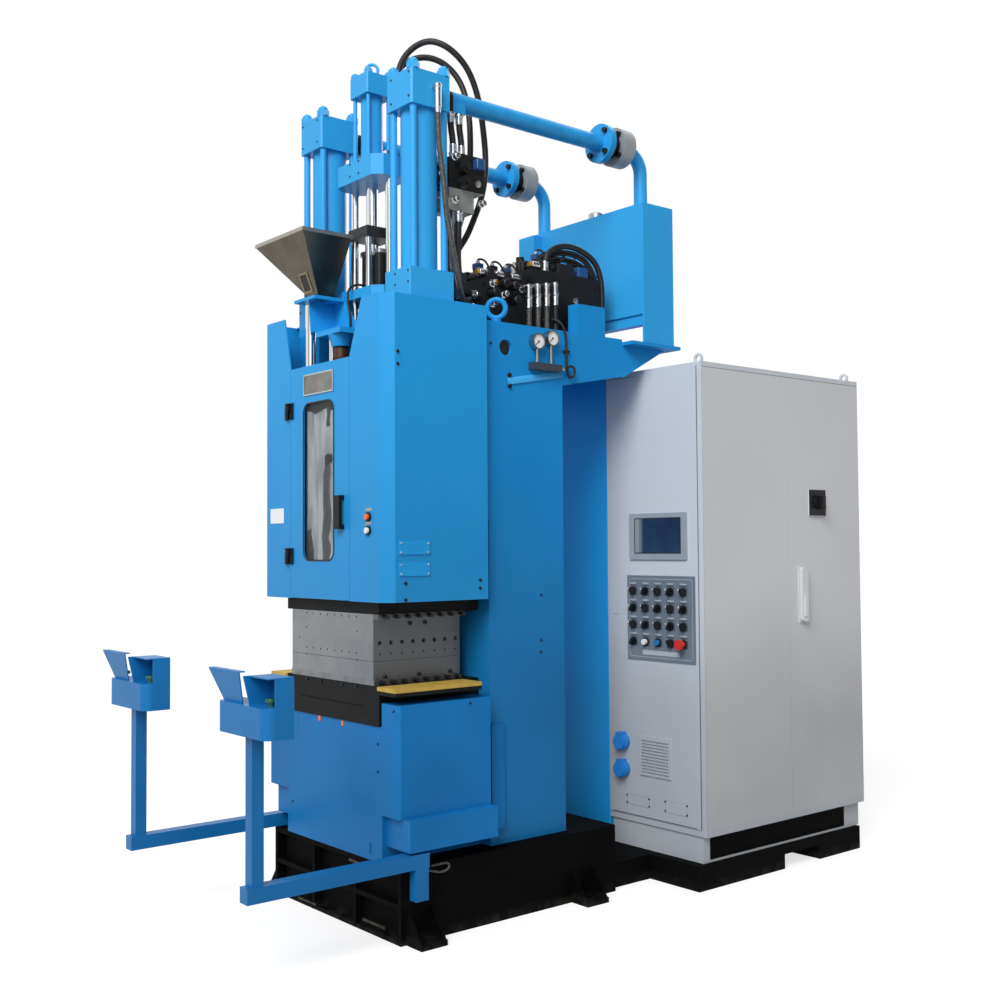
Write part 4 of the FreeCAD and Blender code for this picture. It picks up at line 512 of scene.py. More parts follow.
@dataclass(frozen=True)
class ClearSheet(Look):
    """Cast acrylic: clear, glossy, with faint rub marks that catch light as soft blotches."""

    roughness: float = 0.04
    ior: float = 1.49

    def shader(self, tree: bpy.types.NodeTree) -> bpy.types.NodeSocket:
        """Clear sheet whose gloss dulls where it was rubbed."""
        rub = noise(tree, add(tree, "ShaderNodeTexCoord").outputs["Object"], 14.0, 5.0)
        gloss = ramp(tree, rub, (0.4, 0.7), (self.roughness, self.roughness + 0.12))
        return add(tree, "ShaderNodeBsdfPrincipled", inputs={
            "Base Color": linear(self.colour), "Roughness": gloss, "IOR": self.ior,
            "Transmission Weight": 1.0}).outputs[0]


# Colour that the painted shade towards the floor blends in.
PAINTED_SHADE_COLOUR = (0.004, 0.010, 0.018, 1.0)

# Two-pack polyurethane enamel sprayed on filled and welded steel: glossy, with slight orange peel; painted
# shade darkens it towards the floor.
MACHINE_BLUE = Finish("two_pack_enamel_blue", "#2299DD", "#1E91D4", 0.36, coat=0.04, specular=0.20,
                      patch_mm=520, patch=0.6, grain_mm=9.0, depth_mm=0.05, gloss_spread=0.04, painted_shade=0.42)
# Painted shade: the lower panels get a darker copy of the blue, as less light falls on them near the floor.
LOWER_SHADED_BLUE = replace(MACHINE_BLUE, name="two_pack_enamel_painted_shade_low", colour="#1683CE", tint="#1278C0",
                     roughness=0.40, coat=0.02, specular=0.12, patch_mm=420, patch=0.7, gloss_spread=0.05,
                     painted_shade=0.30)
# Painted shade: the column behind the hood gets a slightly darker copy of the blue, and its painted shade
# towards the floor starts higher.
FRAME_SHADED_BLUE = replace(MACHINE_BLUE, name="two_pack_enamel_column_painted_shade", colour="#1D8DD4", tint="#1985C8",
                     roughness=0.38, coat=0.03, specular=0.12, painted_shade_top=2.1, painted_shade_low=0.6)
# Painted light: what stands high and behind gets a paler copy of the blue, as more light falls there.
UPPER_LIT_BLUE = replace(MACHINE_BLUE, name="two_pack_enamel_painted_light_high", colour="#32A2E2", tint="#2C9BDA", painted_shade=0.0)
# Painted highlight: a paler blue for the ledge strip where a cut edge catches the light.
LEDGE_HIGHLIGHT_BLUE = replace(UPPER_LIT_BLUE, name="two_pack_enamel_painted_highlight", colour="#3FA6E2", tint="#389CD8", patch_mm=120)
# Painted light: the power pack's cover stands in shade behind the column and gets a brighter, more saturated
# blue.
COVER_LIT_BLUE = replace(LOWER_SHADED_BLUE, name="two_pack_enamel_painted_light_cover", colour="#1FA4EE", tint="#1C9BE2", painted_shade=0.10)
# Painted shade: the console's blue is a deeper copy, as it stands low and gets less light.
CONSOLE_SHADED_BLUE = replace(MACHINE_BLUE, name="two_pack_enamel_console_painted_shade", colour="#1878BB", tint="#146EAE",
                       coat=0.03, specular=0.16, patch_mm=320, painted_shade=0.2)
# The same enamel, painted darker towards its bottom as shade; what stands proud of the front sheet is black
# polyamide: hinges, bezels, grip.
HOOD_BLUE = replace(MACHINE_BLUE, name="two_pack_enamel_blue_hood", painted_shade=0.18, painted_shade_top=2.2, painted_shade_low=1.05,
                    zones=(Zone(1, -0.40, -0.2263, "#101113", 0.5),))
# The filling line's rear neck, gasket and flange are bare cast iron between the blue pipes; the neck's
# near-black also paints the shade in the gap between the flanges.
TANK_PIPE_BLUE = replace(UPPER_LIT_BLUE, name="two_pack_enamel_blue_flanged", patch_mm=420, patch=0.5,
                         zones=(Zone(1, 0.9449, 0.9969, "#17191B", 0.5, 0.2),
                                Zone(1, 0.9969, 1.0599, "#9AA0A4", 0.5, 0.25)))
# The filling pipes' collars at the caps are rusted black where the paint burnt off at the weld.
FILL_PIPE_BLUE = replace(UPPER_LIT_BLUE, name="two_pack_enamel_blue_collared", colour="#2C9CDE", tint="#2592D2",
                         patch_mm=60, patch=0.9, grain_mm=5.0, depth_mm=0.08, gloss_spread=0.06,
                         zones=(Zone(1, 0.0, 0.135, "#2A211D", 0.6, 0.3),))
# Polyester powder coat on folded sheet: matt, with a fine baked texture; painted shade darkens it towards the
# floor.
CABINET_GREY = Finish("powder_coat_light_grey", "#C6CCD3", "#BDC4CB", 0.55, patch_mm=500, patch=0.5,
                      grain_mm=1.6, depth_mm=0.04, gloss_spread=0.04, painted_shade=0.30, specular=0.4)
# The doors' powder coat is a warmer batch of the same grey; the switch's backing plate is black.
DOOR_GREY = replace(CABINET_GREY, name="powder_coat_door_grey", colour="#CDCFD2", tint="#C3C5C9",
                    zones=(Zone(0, 0.6762, 0.70, "#17181A", 0.4),))
# Alkyd skid paint over mill scale: dead black, greyed by floor dust near the ground.
SKID_BLACK = Finish("alkyd_black", "#040404", "#090909", 0.75, patch_mm=180, patch=0.8, grain_mm=3.5,
                    depth_mm=0.10, gloss_spread=0.10, dust_and_painted_light="#4A4640", dust_height=0.04, specular=0.05)
PLATEN_BLACK = Finish("blackened_steel", "#0A0B0C", "#121314", 0.6, 0.0, patch_mm=120, patch=0.8,
                      grain=Grain.ALONG_X, grain_mm=1.2, depth_mm=0.04, gloss_spread=0.1, specular=0.15)
# Surface-ground tool steel: even grey, fine lines along the table travel; its right side is painted a darker
# grey as shade.
GROUND_STEEL = Finish("ground_tool_steel", "#8C9092", "#7D8082", 0.38, 0.85, patch_mm=90, patch=0.6,
                      grain=Grain.ALONG_X, grain_mm=1.5, depth_mm=0.02, gloss_spread=0.1,
                      zones=(Zone(0, 0.2835, 0.30, "#616467", 0.42, 0.7),))
# The heating plates are the same ground steel, painted darker on their right side as shade; their terminal
# blocks are black bakelite.
HEAT_PLATE = Finish("heater_plate_steel", "#8A8D8F", "#6E7173", 0.40, 0.85, patch_mm=60, patch=0.8,
                    grain=Grain.ALONG_X, grain_mm=1.5, depth_mm=0.02,
                    zones=(Zone(0, 0.2835, 0.2902, "#616467", 0.42, 0.7),
                           Zone(0, 0.2902, 0.345, "#0D0E0F", 0.5)))
# The upper half: its right side is painted a darker grey as shade.
MOULD_TOP = replace(GROUND_STEEL, name="ground_tool_steel_top", gloss_spread=0.08,
                    zones=(Zone(0, 0.2835, 0.3152, "#616467", 0.42, 0.7),
                           Zone(0, 0.3152, 0.345, "#141516", 0.5)))
# Epoxy glass laminate board: straw yellow, woven fibre lines.
INSULATION = Finish("epoxy_glass_laminate", "#C2A347", "#A08436", 0.55, patch_mm=40, patch=0.6,
                    grain=Grain.ALONG_Y, grain_mm=0.9, depth_mm=0.05)
HARD_CHROME = Finish("hard_chrome", "#E6E9EB", "#D5D9DC", 0.10, 1.0, patch_mm=70, patch=0.4,
                     grain=Grain.ALONG_Z, grain_mm=2.5, depth_mm=0.004, gloss_spread=0.03)
# The plunger is chrome; the plate on its top guide is oiled black steel.
PLUNGER_CHROME = replace(HARD_CHROME, name="hard_chrome_plunger",
                         zones=(Zone(2, 2.5419, 2.5831, "#1E2022", 0.45, 0.3),))
# Sheet behind the door's pane, with a painted reflection: dark soft patches and sheen bands.
BACKING_SHEET = PaintedReflectionSheet("sheet_with_painted_reflection", "#ADA8A9", "#0C0D0E", (
    Shade(-0.200, 0.110, 1.866, 1.930, 0.93), Shade(-0.016, 0.034, 1.806, 1.930, 0.90),
    Shade(-0.034, 0.036, 1.663, 1.712, 1.0), Shade(-0.028, 0.024, 1.290, 1.690, 0.86),
    Shade(-0.012, 0.002, 1.290, 1.690, 0.96), Shade(-0.200, -0.094, 1.290, 1.438, 0.92),
    Shade(-0.200, -0.136, 1.560, 1.592, 0.90), Shade(-0.200, -0.150, 1.640, 1.780, 0.55),
    Shade(-0.113, -0.105, 1.44, 1.80, 0.45)))
# Screen print on the board: pale grey ink, and dark grey squares behind the knobs.
BOARD_LIGHT = Finish("pale_screen_ink", "#AEB6BD", "#A1A9B0", 0.5, patch_mm=20, grain_mm=0.8, depth_mm=0.003)
BOARD_DARK = Finish("dark_screen_ink", "#4A535C", "#414A52", 0.5, patch_mm=20, grain_mm=0.8, depth_mm=0.003)
# 304 sheet, brushed: warm grey with long drawn lines and a film of rubber dust.
STAINLESS = Finish("brushed_304_stainless", "#655D51", "#4A433B", 0.25, 0.95, patch_mm=110, patch=0.7,
                   grain=Grain.ALONG_X, grain_mm=1.1, depth_mm=0.02, gloss_spread=0.1,
                   zones=(Zone(2, 2.5385, 2.56, "#A5A197", 0.35, 0.8),))
PLATE_STEEL = Finish("soiled_stainless_plate", "#8F8D88", "#6F6C66", 0.22, 1.0, patch_mm=60, patch=0.8,
                     grain=Grain.ALONG_X, grain_mm=1.0, depth_mm=0.005, gloss_spread=0.06)
SIGHT_FRAME = Finish("worn_sight_frame", "#8E8269", "#6C6250", 0.45, 0.6, patch_mm=30, patch=0.7,
                     grain_mm=1.0, depth_mm=0.02)
STAINLESS_TRIM = Finish("satin_stainless_trim", "#A9A8A4", "#8B8A86", 0.26, 1.0, patch_mm=45, patch=0.8,
                        grain=Grain.ALONG_X, grain_mm=0.9, depth_mm=0.01)
VALVE_BLACK = Finish("phosphated_cast_iron", "#0A0B0C", "#141516", 0.55, 0.0, patch_mm=60, patch=0.8,
                     grain_mm=1.4, depth_mm=0.08, gloss_spread=0.1, specular=0.35,
                     zones=(Zone(2, 2.60, 2.6862, "#A3A6A3", 0.42, 0.6),))
# Nitrided barrel: near black; the guide bush ring is bare, and the feed throat shows browned copper bands.
BARREL_BLACK = Finish("oxidised_barrel_steel", "#121314", "#232425", 0.42, 0.4, patch_mm=50, patch=0.8,
                      grain_mm=1.4, depth_mm=0.04, zones=(Zone(2, 2.478, 2.4935, "#9B9DA0", 0.3, 1.0),
                                                          Zone(2, 2.070, 2.110, "#4E3629", 0.45, 0.6)))
COIL_BLACK = Finish("moulded_coil_resin", "#111214", "#1D1F22", 0.45, patch_mm=40, patch=0.6, grain_mm=1.0,
                    depth_mm=0.05, specular=0.4)
ZINC = Finish("zinc_plated_steel", "#C6C8CA", "#A9ACAE", 0.28, 1.0, patch_mm=22, patch=0.6, grain_mm=0.8,
              depth_mm=0.02)
BRASS = Finish("turned_brass", "#B98D45", "#8F6B30", 0.30, 1.0, patch_mm=20, patch=0.5, grain_mm=0.7,
               depth_mm=0.01)
BLACK_OXIDE = Finish("black_oxide_screws", "#16171A", "#26282A", 0.42, 0.4, patch_mm=14, patch=0.6,
                     grain_mm=0.8, depth_mm=0.02)
# Extruded nitrile cover over a wrapped braid: matt black with cloth-wrap marks.
HOSE_RUBBER = Finish("wrapped_nitrile_hose", "#0F0F10", "#1E1E1F", 0.52, patch_mm=25, patch=0.7, grain_mm=2.2,
                     depth_mm=0.15, gloss_spread=0.12, specular=0.45)
# The same hose in a worn woven sleeve: grey flecks over black.
HOSE_GREY = Finish("worn_nitrile_hose", "#19191A", "#6B6863", 0.5, patch_mm=6, patch=0.8, grain_mm=1.6,
                   depth_mm=0.12)
NEEDLE = Finish("stamped_black_needle", "#111213", "#191A1B", 0.4, patch_mm=8, grain_mm=0.6, depth_mm=0.005)
GREEN_CAP = Finish("moulded_green_abs", "#0D5B47", "#0A4F3D", 0.28, patch_mm=25, grain_mm=0.9, depth_mm=0.01)
RED_CAP = Finish("moulded_red_abs", "#D0342C", "#BC2B24", 0.28, patch_mm=25, grain_mm=0.9, depth_mm=0.01)
BLACK_CAP = Finish("moulded_black_abs", "#101113", "#1A1B1D", 0.32, patch_mm=25, grain_mm=0.9, depth_mm=0.02)
ORANGE_CAP = Finish("lens_orange", "#E8701E", "#D65F12", 0.22, patch_mm=12, grain_mm=0.8, depth_mm=0.01)
WHITE_CAP = Finish("lens_white", "#E4E6E4", "#D6D8D6", 0.25, patch_mm=12, grain_mm=0.8, depth_mm=0.01)
BLUE_CAP = Finish("lens_blue", "#2A78B0", "#236A9E", 0.25, patch_mm=12, grain_mm=0.8, depth_mm=0.01)
PLUG_BLUE = Finish("moulded_plug_blue", "#1E4E86", "#173F70", 0.40, patch_mm=25, grain_mm=0.9, depth_mm=0.02)
SOCKET_BLUE = Finish("moulded_socket_blue", "#1C7CCB", "#186DB5", 0.42, patch_mm=30, grain_mm=1.0,
                     depth_mm=0.02)
DIAL_WHITE = Finish("enamelled_dial", "#EDEFEE", "#E2E4E3", 0.35, patch_mm=20, grain_mm=0.8, depth_mm=0.003)
GAUGE_STEEL = Finish("gauge_case_stainless", "#B4B3AB", "#8F8E86", 0.28, 1.0, patch_mm=25, grain_mm=0.8,
                     depth_mm=0.01, zones=(Zone(2, 2.0, 2.0685, "#3C4654", 0.5, 0.3),))
# Anodised aluminium board in a neutral slate; the selector knobs standing on it are black.
PANEL_SLATE = Finish("anodised_panel_slate", "#76818C", "#6B7681", 0.42, 0.2, patch_mm=90,
                     grain=Grain.ALONG_X, grain_mm=0.8, depth_mm=0.01,
                     zones=(Zone(1, 0.90, 1.1155, "#0E0F11", 0.35),))
SCREEN_BEZEL = Finish("brushed_screen_bezel", "#A9B2BA", "#9CA5AD", 0.40, 0.3, patch_mm=60,
                      grain=Grain.ALONG_X, grain_mm=0.7, depth_mm=0.01)
# Touch glass over a switched-off display: dark blue, paler where a wall is mirrored at its left.
SCREEN_GLASS = Finish("screen_glass_dark", "#1F3147", "#2C4765", 0.14, patch_mm=130, patch=0.9, grain_mm=1.0,
                      depth_mm=0.0, specular=0.3, zones=(Zone(0, 0.300, 0.330, "#8D9599", 0.2),
                                                         Zone(0, 0.330, 0.343, "#6F7B84", 0.2),
                                                         Zone(0, 0.343, 0.352, "#4B5C6C", 0.2)))
HANDLE_GREY = Finish("die_cast_handle", "#D3D7DA", "#C3C7CB", 0.32, 0.2, patch_mm=40, grain_mm=0.9,
                     depth_mm=0.02)
PLATE_WHITE = Finish("white_laminate_plate", "#E8ECEF", "#DDE1E4", 0.35, patch_mm=40, grain_mm=0.8,
                     depth_mm=0.005)
FAINT_GROOVE = Finish("shallow_seam", "#7E858C", "#878E95", 0.7, patch_mm=30, grain_mm=1.0, depth_mm=0.02)
GROOVE = Finish("shadowed_seam", "#2E3338", "#3A4046", 0.7, patch_mm=30, grain_mm=1.0, depth_mm=0.02)
# Painted light: pale streaks on the black base where light falls on its ribs and through its openings.
BASE_LIGHT_STREAKS = Finish("painted_light_on_black", "#5B564F", "#2C2A27", 0.85, patch_mm=22, patch=1.0, grain_mm=3.0,
                    depth_mm=0.2, specular=0.1)
SEAL_BLACK = Finish("epdm_seal", "#0F1011", "#1A1B1D", 0.6, patch_mm=20, grain_mm=0.9, depth_mm=0.03)
# Coated against glare: a white studio all round would else hide what is behind it.
PANE = ClearSheet("coated_acrylic_pane", "#EAF2F4", ior=1.16)

NODE_FINISH: dict[str, Look] = {
    "base_frame": SKID_BLACK, "c_frame": FRAME_SHADED_BLUE, "lower_housing": LOWER_SHADED_BLUE, "side_covers": LOWER_SHADED_BLUE,
    "lower_table": PLATEN_BLACK, "insulation_boards": INSULATION, "lower_heating_plate": HEAT_PLATE,
    "lower_mould_half": GROUND_STEEL, "upper_mould_half": MOULD_TOP, "upper_platen": PLATEN_BLACK,
    "clamp_blocks": UPPER_LIT_BLUE, "clamp_barrels": UPPER_LIT_BLUE, "clamp_caps": UPPER_LIT_BLUE,
    "clamp_tie_rods": UPPER_LIT_BLUE, "clamp_rods": HARD_CHROME, "injection_crossheads": UPPER_LIT_BLUE,
    "injection_columns": HARD_CHROME, "injection_cylinder": UPPER_LIT_BLUE, "barrels": BARREL_BLACK,
    "plunger": PLUNGER_CHROME, "hopper": STAINLESS, "hopper_bracket": MACHINE_BLUE, "upper_cover": HOOD_BLUE,
    "cover_button_orange": ORANGE_CAP, "cover_button_white": WHITE_CAP, "front_door": HOOD_BLUE,
    "door_window": PANE, "prefill_pipes": FILL_PIPE_BLUE, "tank_pipes": TANK_PIPE_BLUE,
    "flange_bolts": BLACK_OXIDE, "oil_tank": UPPER_LIT_BLUE, "breather_cap": ZINC, "power_pack_cover": COVER_LIT_BLUE,
    "valve_manifold": VALVE_BLACK, "solenoid_valves": COIL_BLACK, "hose_fittings": ZINC,
    "fixed_hoses": HOSE_RUBBER, "loop_hoses": HOSE_RUBBER, "pressure_gauges": GAUGE_STEEL,
    "gauge_needle_front": NEEDLE, "gauge_needle_rear": NEEDLE, "console_arms": CONSOLE_SHADED_BLUE,
    "console_boxes": CONSOLE_SHADED_BLUE, "start_button_left": GREEN_CAP, "start_button_right": GREEN_CAP,
    "stop_button_left": BLACK_CAP, "stop_button_right": RED_CAP, "cabinet_body": CABINET_GREY,
    "cabinet_base": SKID_BLACK, "cabinet_front_panel": CABINET_GREY, "service_sockets": SOCKET_BLUE,
    "hmi_screen": SCREEN_BEZEL, "operator_board": PANEL_SLATE, "panel_button_white": WHITE_CAP,
    "panel_button_blue": BLUE_CAP, "emergency_stop": RED_CAP, "cabinet_door_front": DOOR_GREY,
    "cabinet_door_rear": DOOR_GREY, "cabinet_handle": HANDLE_GREY, "main_switch": BLACK_CAP,
}


# ---------------------------------------------------------------- pieces
def make_piece(name: str, surface: Surface, finish: Look, body: str = "machine",
               crease: float = 35.0) -> bpy.types.Object:
    """Turns a surface into an object of the scene that rides on a CAD body.

    Args:
        name: the piece's name.
        surface: its points and faces in the machine's frame.
        finish: its finish.
        body: the CAD body that carries it, or nothing where it bends between two.
        crease: angle in degrees above which an edge stays sharp.

    Returns:
        The new object.
    """
    mesh = bpy.data.meshes.new(name)
    faces = [row for block in surface.faces for row in block.tolist()]
    mesh.from_pydata(surface.points.tolist(), [], faces)
    work = bmesh.new()
    work.from_mesh(mesh)
    bmesh.ops.remove_doubles(work, verts=work.verts, dist=2e-6)
    bmesh.ops.dissolve_degenerate(work, edges=work.edges, dist=1e-7)
    bmesh.ops.recalc_face_normals(work, faces=work.faces)
    work.to_mesh(mesh)
    work.free()
    mesh.shade_smooth()
    mesh.set_sharp_from_angle(angle=math.radians(crease))
    mesh.materials.append(finish.build())
    piece = bpy.data.objects.new(name, mesh)
    bpy.context.scene.collection.objects.link(piece)
    if body:
        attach(piece, body)
    log.info("%s: %d faces on %s", name, len(mesh.polygons), body or "two bodies")
    return piece


def dress_nodes() -> None:
    """Gives every carried-over solid its finish."""
    for name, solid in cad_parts.items():
        solid.data.materials.clear()
        solid.data.materials.append(NODE_FINISH[name].build())
        log.info("dressed %s", name)


def screw_row(name: str, head: Surface, normal: Point, places: list[Point], body: str = "machine") -> None:
    """Black screws at a list of places on a wall."""
    make_piece(name, row(facing(head, normal), places), BLACK_OXIDE, body)


def crimped_end(radius: float, length: float = 0.046) -> Surface:
    """Hose end standing on local z = 0: nut, sleeve with four crimp grooves, closed on the hose."""
    nut = radius * 1.42
    sleeve = radius * 1.22
    groove = radius * 1.14
    profile = [(0.0, 0.0), (nut * 0.92, 0.0), (nut, 0.001), (nut, 0.010), (nut * 0.92, 0.0115),
               (sleeve, 0.0125)]
    for step in np.linspace(0.35, 0.85, 4) * length:
        profile += [(sleeve, step - 0.0022), (groove, step - 0.0008), (groove, step + 0.0008),
                    (sleeve, step + 0.0022)]
    return revolved(profile + [(sleeve * 0.98, length), (radius * 0.9, length), (0.0, length)], 20)


def wavy_sheet(width: float, height: float, depth: float) -> Surface:
    """Thin sheet that bows: y(x, z) = depth * edge * (0.5 + 0.5 wave), two upright waves bent by a slow one.

    Args:
        width: extent along x, centred.
        height: extent along z, centred.
        depth: how far the waves stand off the door's back, along +y.

    Returns:
        A closed sheet whose rim lies flat at y = 0.
    """
    x = np.linspace(-width / 2, width / 2, 41)
    z = np.linspace(-height / 2, height / 2, 91)[:, None]
    bent = x[None] + 0.020 * np.sin(9.0 * z + 1.0)
    wave = 0.7 * np.sin(70 * bent + 5 * z) + 0.3 * np.sin(120 * bent - 9 * z + 2.1)
    edge = (1 - np.abs(2 * x[None] / width) ** 6) * (1 - np.abs(2 * z / height) ** 10)
    front = depth * edge * (0.5 + 0.5 * wave)
    wide = np.broadcast_to(x[None], front.shape)
    tall = np.broadcast_to(z, front.shape)
    there = np.stack([wide, front, tall], -1)
    back = np.stack([wide, front + 0.0008, tall], -1)[:, ::-1]
    return lofted(list(np.concatenate([there, back], 1)))


@dataclass
class HoodTrim:
    """What sits on the upper cover and its door: plates, screws, window seal, sheet behind the pane."""

    front: float = -0.226
    side: float = 0.416
    door_back: float = -0.2038
    plate_x: float = -0.0215
    plate_z: float = 1.977
    plate_size: tuple[float, float] = (0.213, 0.080)
    white_place: tuple[float, float] = (-0.335, 1.4865)
    tag_place: tuple[float, float] = (0.315, 1.447)
    button_apart: float = 0.048
    window_x: float = -0.0235
    window_z: float = 1.611
    window_size: tuple[float, float] = (0.223, 0.598)
    sheet_size: tuple[float, float] = (0.228, 0.602)
    sheet_bow: float = 0.007
    hinge_x: float = -0.254
    hinge_heights: tuple[float, float] = (1.330, 1.888)
    knuckle: float = 0.018
    blank_y: float = -0.1015
    blank_heights: tuple[float, float] = (1.360, 1.2845)
    blank_screw_apart: tuple[float, float] = (0.058, 0.016)

    def build(self) -> None:
        """Adds the trim of the cover and of the door."""
        self.plates()
        self.screws()
        self.window()

    def plates(self) -> None:
        """Bare stainless plate on the door, white plate and small plates on the cover's front."""
        spot = (self.plate_x, self.front, self.plate_z)
        plate = slab(*self.plate_size, 0.0015, 0.004).placed(spot, FRONT, UP)
        make_piece("door_plate_bare", plate, PLATE_STEEL, "front_door")
        rim = frame_strip(*self.plate_size, 0.005, 0.0036, 0.004).placed(spot, FRONT, UP)
        make_piece("door_plate_rim", rim, ZINC, "front_door")
        heights = [middle + side * self.knuckle for middle in self.hinge_heights for side in (-1, 1)]
        knuckles = [(self.hinge_x, self.front - 0.006, z) for z in heights]
        head = facing(screw_head(0.0048, 0.003, 12), FRONT)
        make_piece("hinge_screws", row(head, knuckles), ZINC)
        x, z = self.white_place
        white = slab(0.104, 0.058, 0.0012, 0.003).placed((x, self.front, z), FRONT, UP)
        make_piece("cover_plate_white_bare", white, PLATE_WHITE)
        x, z = self.tag_place
        tag = slab(0.038, 0.011, 0.001, 0.001).placed((x, self.front, z), FRONT, UP)
        tags = row(tag, [(0, 0, self.button_apart), (0, 0, 0)])
        make_piece("cover_button_tags_bare", tags, STAINLESS_TRIM)
        cover = facing(slab(0.134, 0.048, 0.003, 0.004), RIGHT)
        spots = [(self.side, self.blank_y, z) for z in self.blank_heights]
        make_piece("cover_blanking_plates", row(cover, spots), MACHINE_BLUE)

    def screws(self) -> None:
        """Button-head screws down the cover's sides and on its blanking plates."""
        head = screw_head(0.0060, 0.004, 14)
        places = [(0, y, z) for y, z in ((-0.140, 1.236), (-0.140, 1.178), (0.191, 1.240), (0.191, 1.211),
                                         (-0.170, 2.046), (-0.170, 2.002))]
        right = row(facing(head, RIGHT), places).moved((self.side, 0, 0))
        left = row(facing(head, LEFT), places).moved((-self.side, 0, 0))
        make_piece("cover_side_screws", joined(right, left), BLACK_OXIDE)
        small = screw_head(0.0035, 0.0025, 12).placed((self.side + 0.003, 0, 0), RIGHT, UP)
        out, up = self.blank_screw_apart
        spots = [(0, self.blank_y + a * out, z + b * up)
                 for z in self.blank_heights for a in (-1, 1) for b in (-1, 1)]
        make_piece("blanking_plate_screws", row(small, spots), ZINC)

    def window(self) -> None:
        """Rubber seal round the window's edge, and the sheet with a painted reflection on the door's back."""
        middle = (self.window_x, self.front, self.window_z)
        seal = frame_strip(*self.window_size, 0.006, 0.0018, 0.040).placed(middle, FRONT, UP)
        make_piece("window_seal", seal, SEAL_BLACK, "front_door")
        behind = (self.window_x, self.door_back, self.window_z)
        sheet = wavy_sheet(*self.sheet_size, self.sheet_bow).moved(behind)
        make_piece("door_backing_sheet", sheet, BACKING_SHEET, "front_door", 70.0)


@dataclass(frozen=True)
class Hose:
    """A hose: radius, real length, control points as the solid has them, and its crimped ends' length."""

    name: str
    radius: float
    length: float
    route: list[Point]
    end: float = 0.046


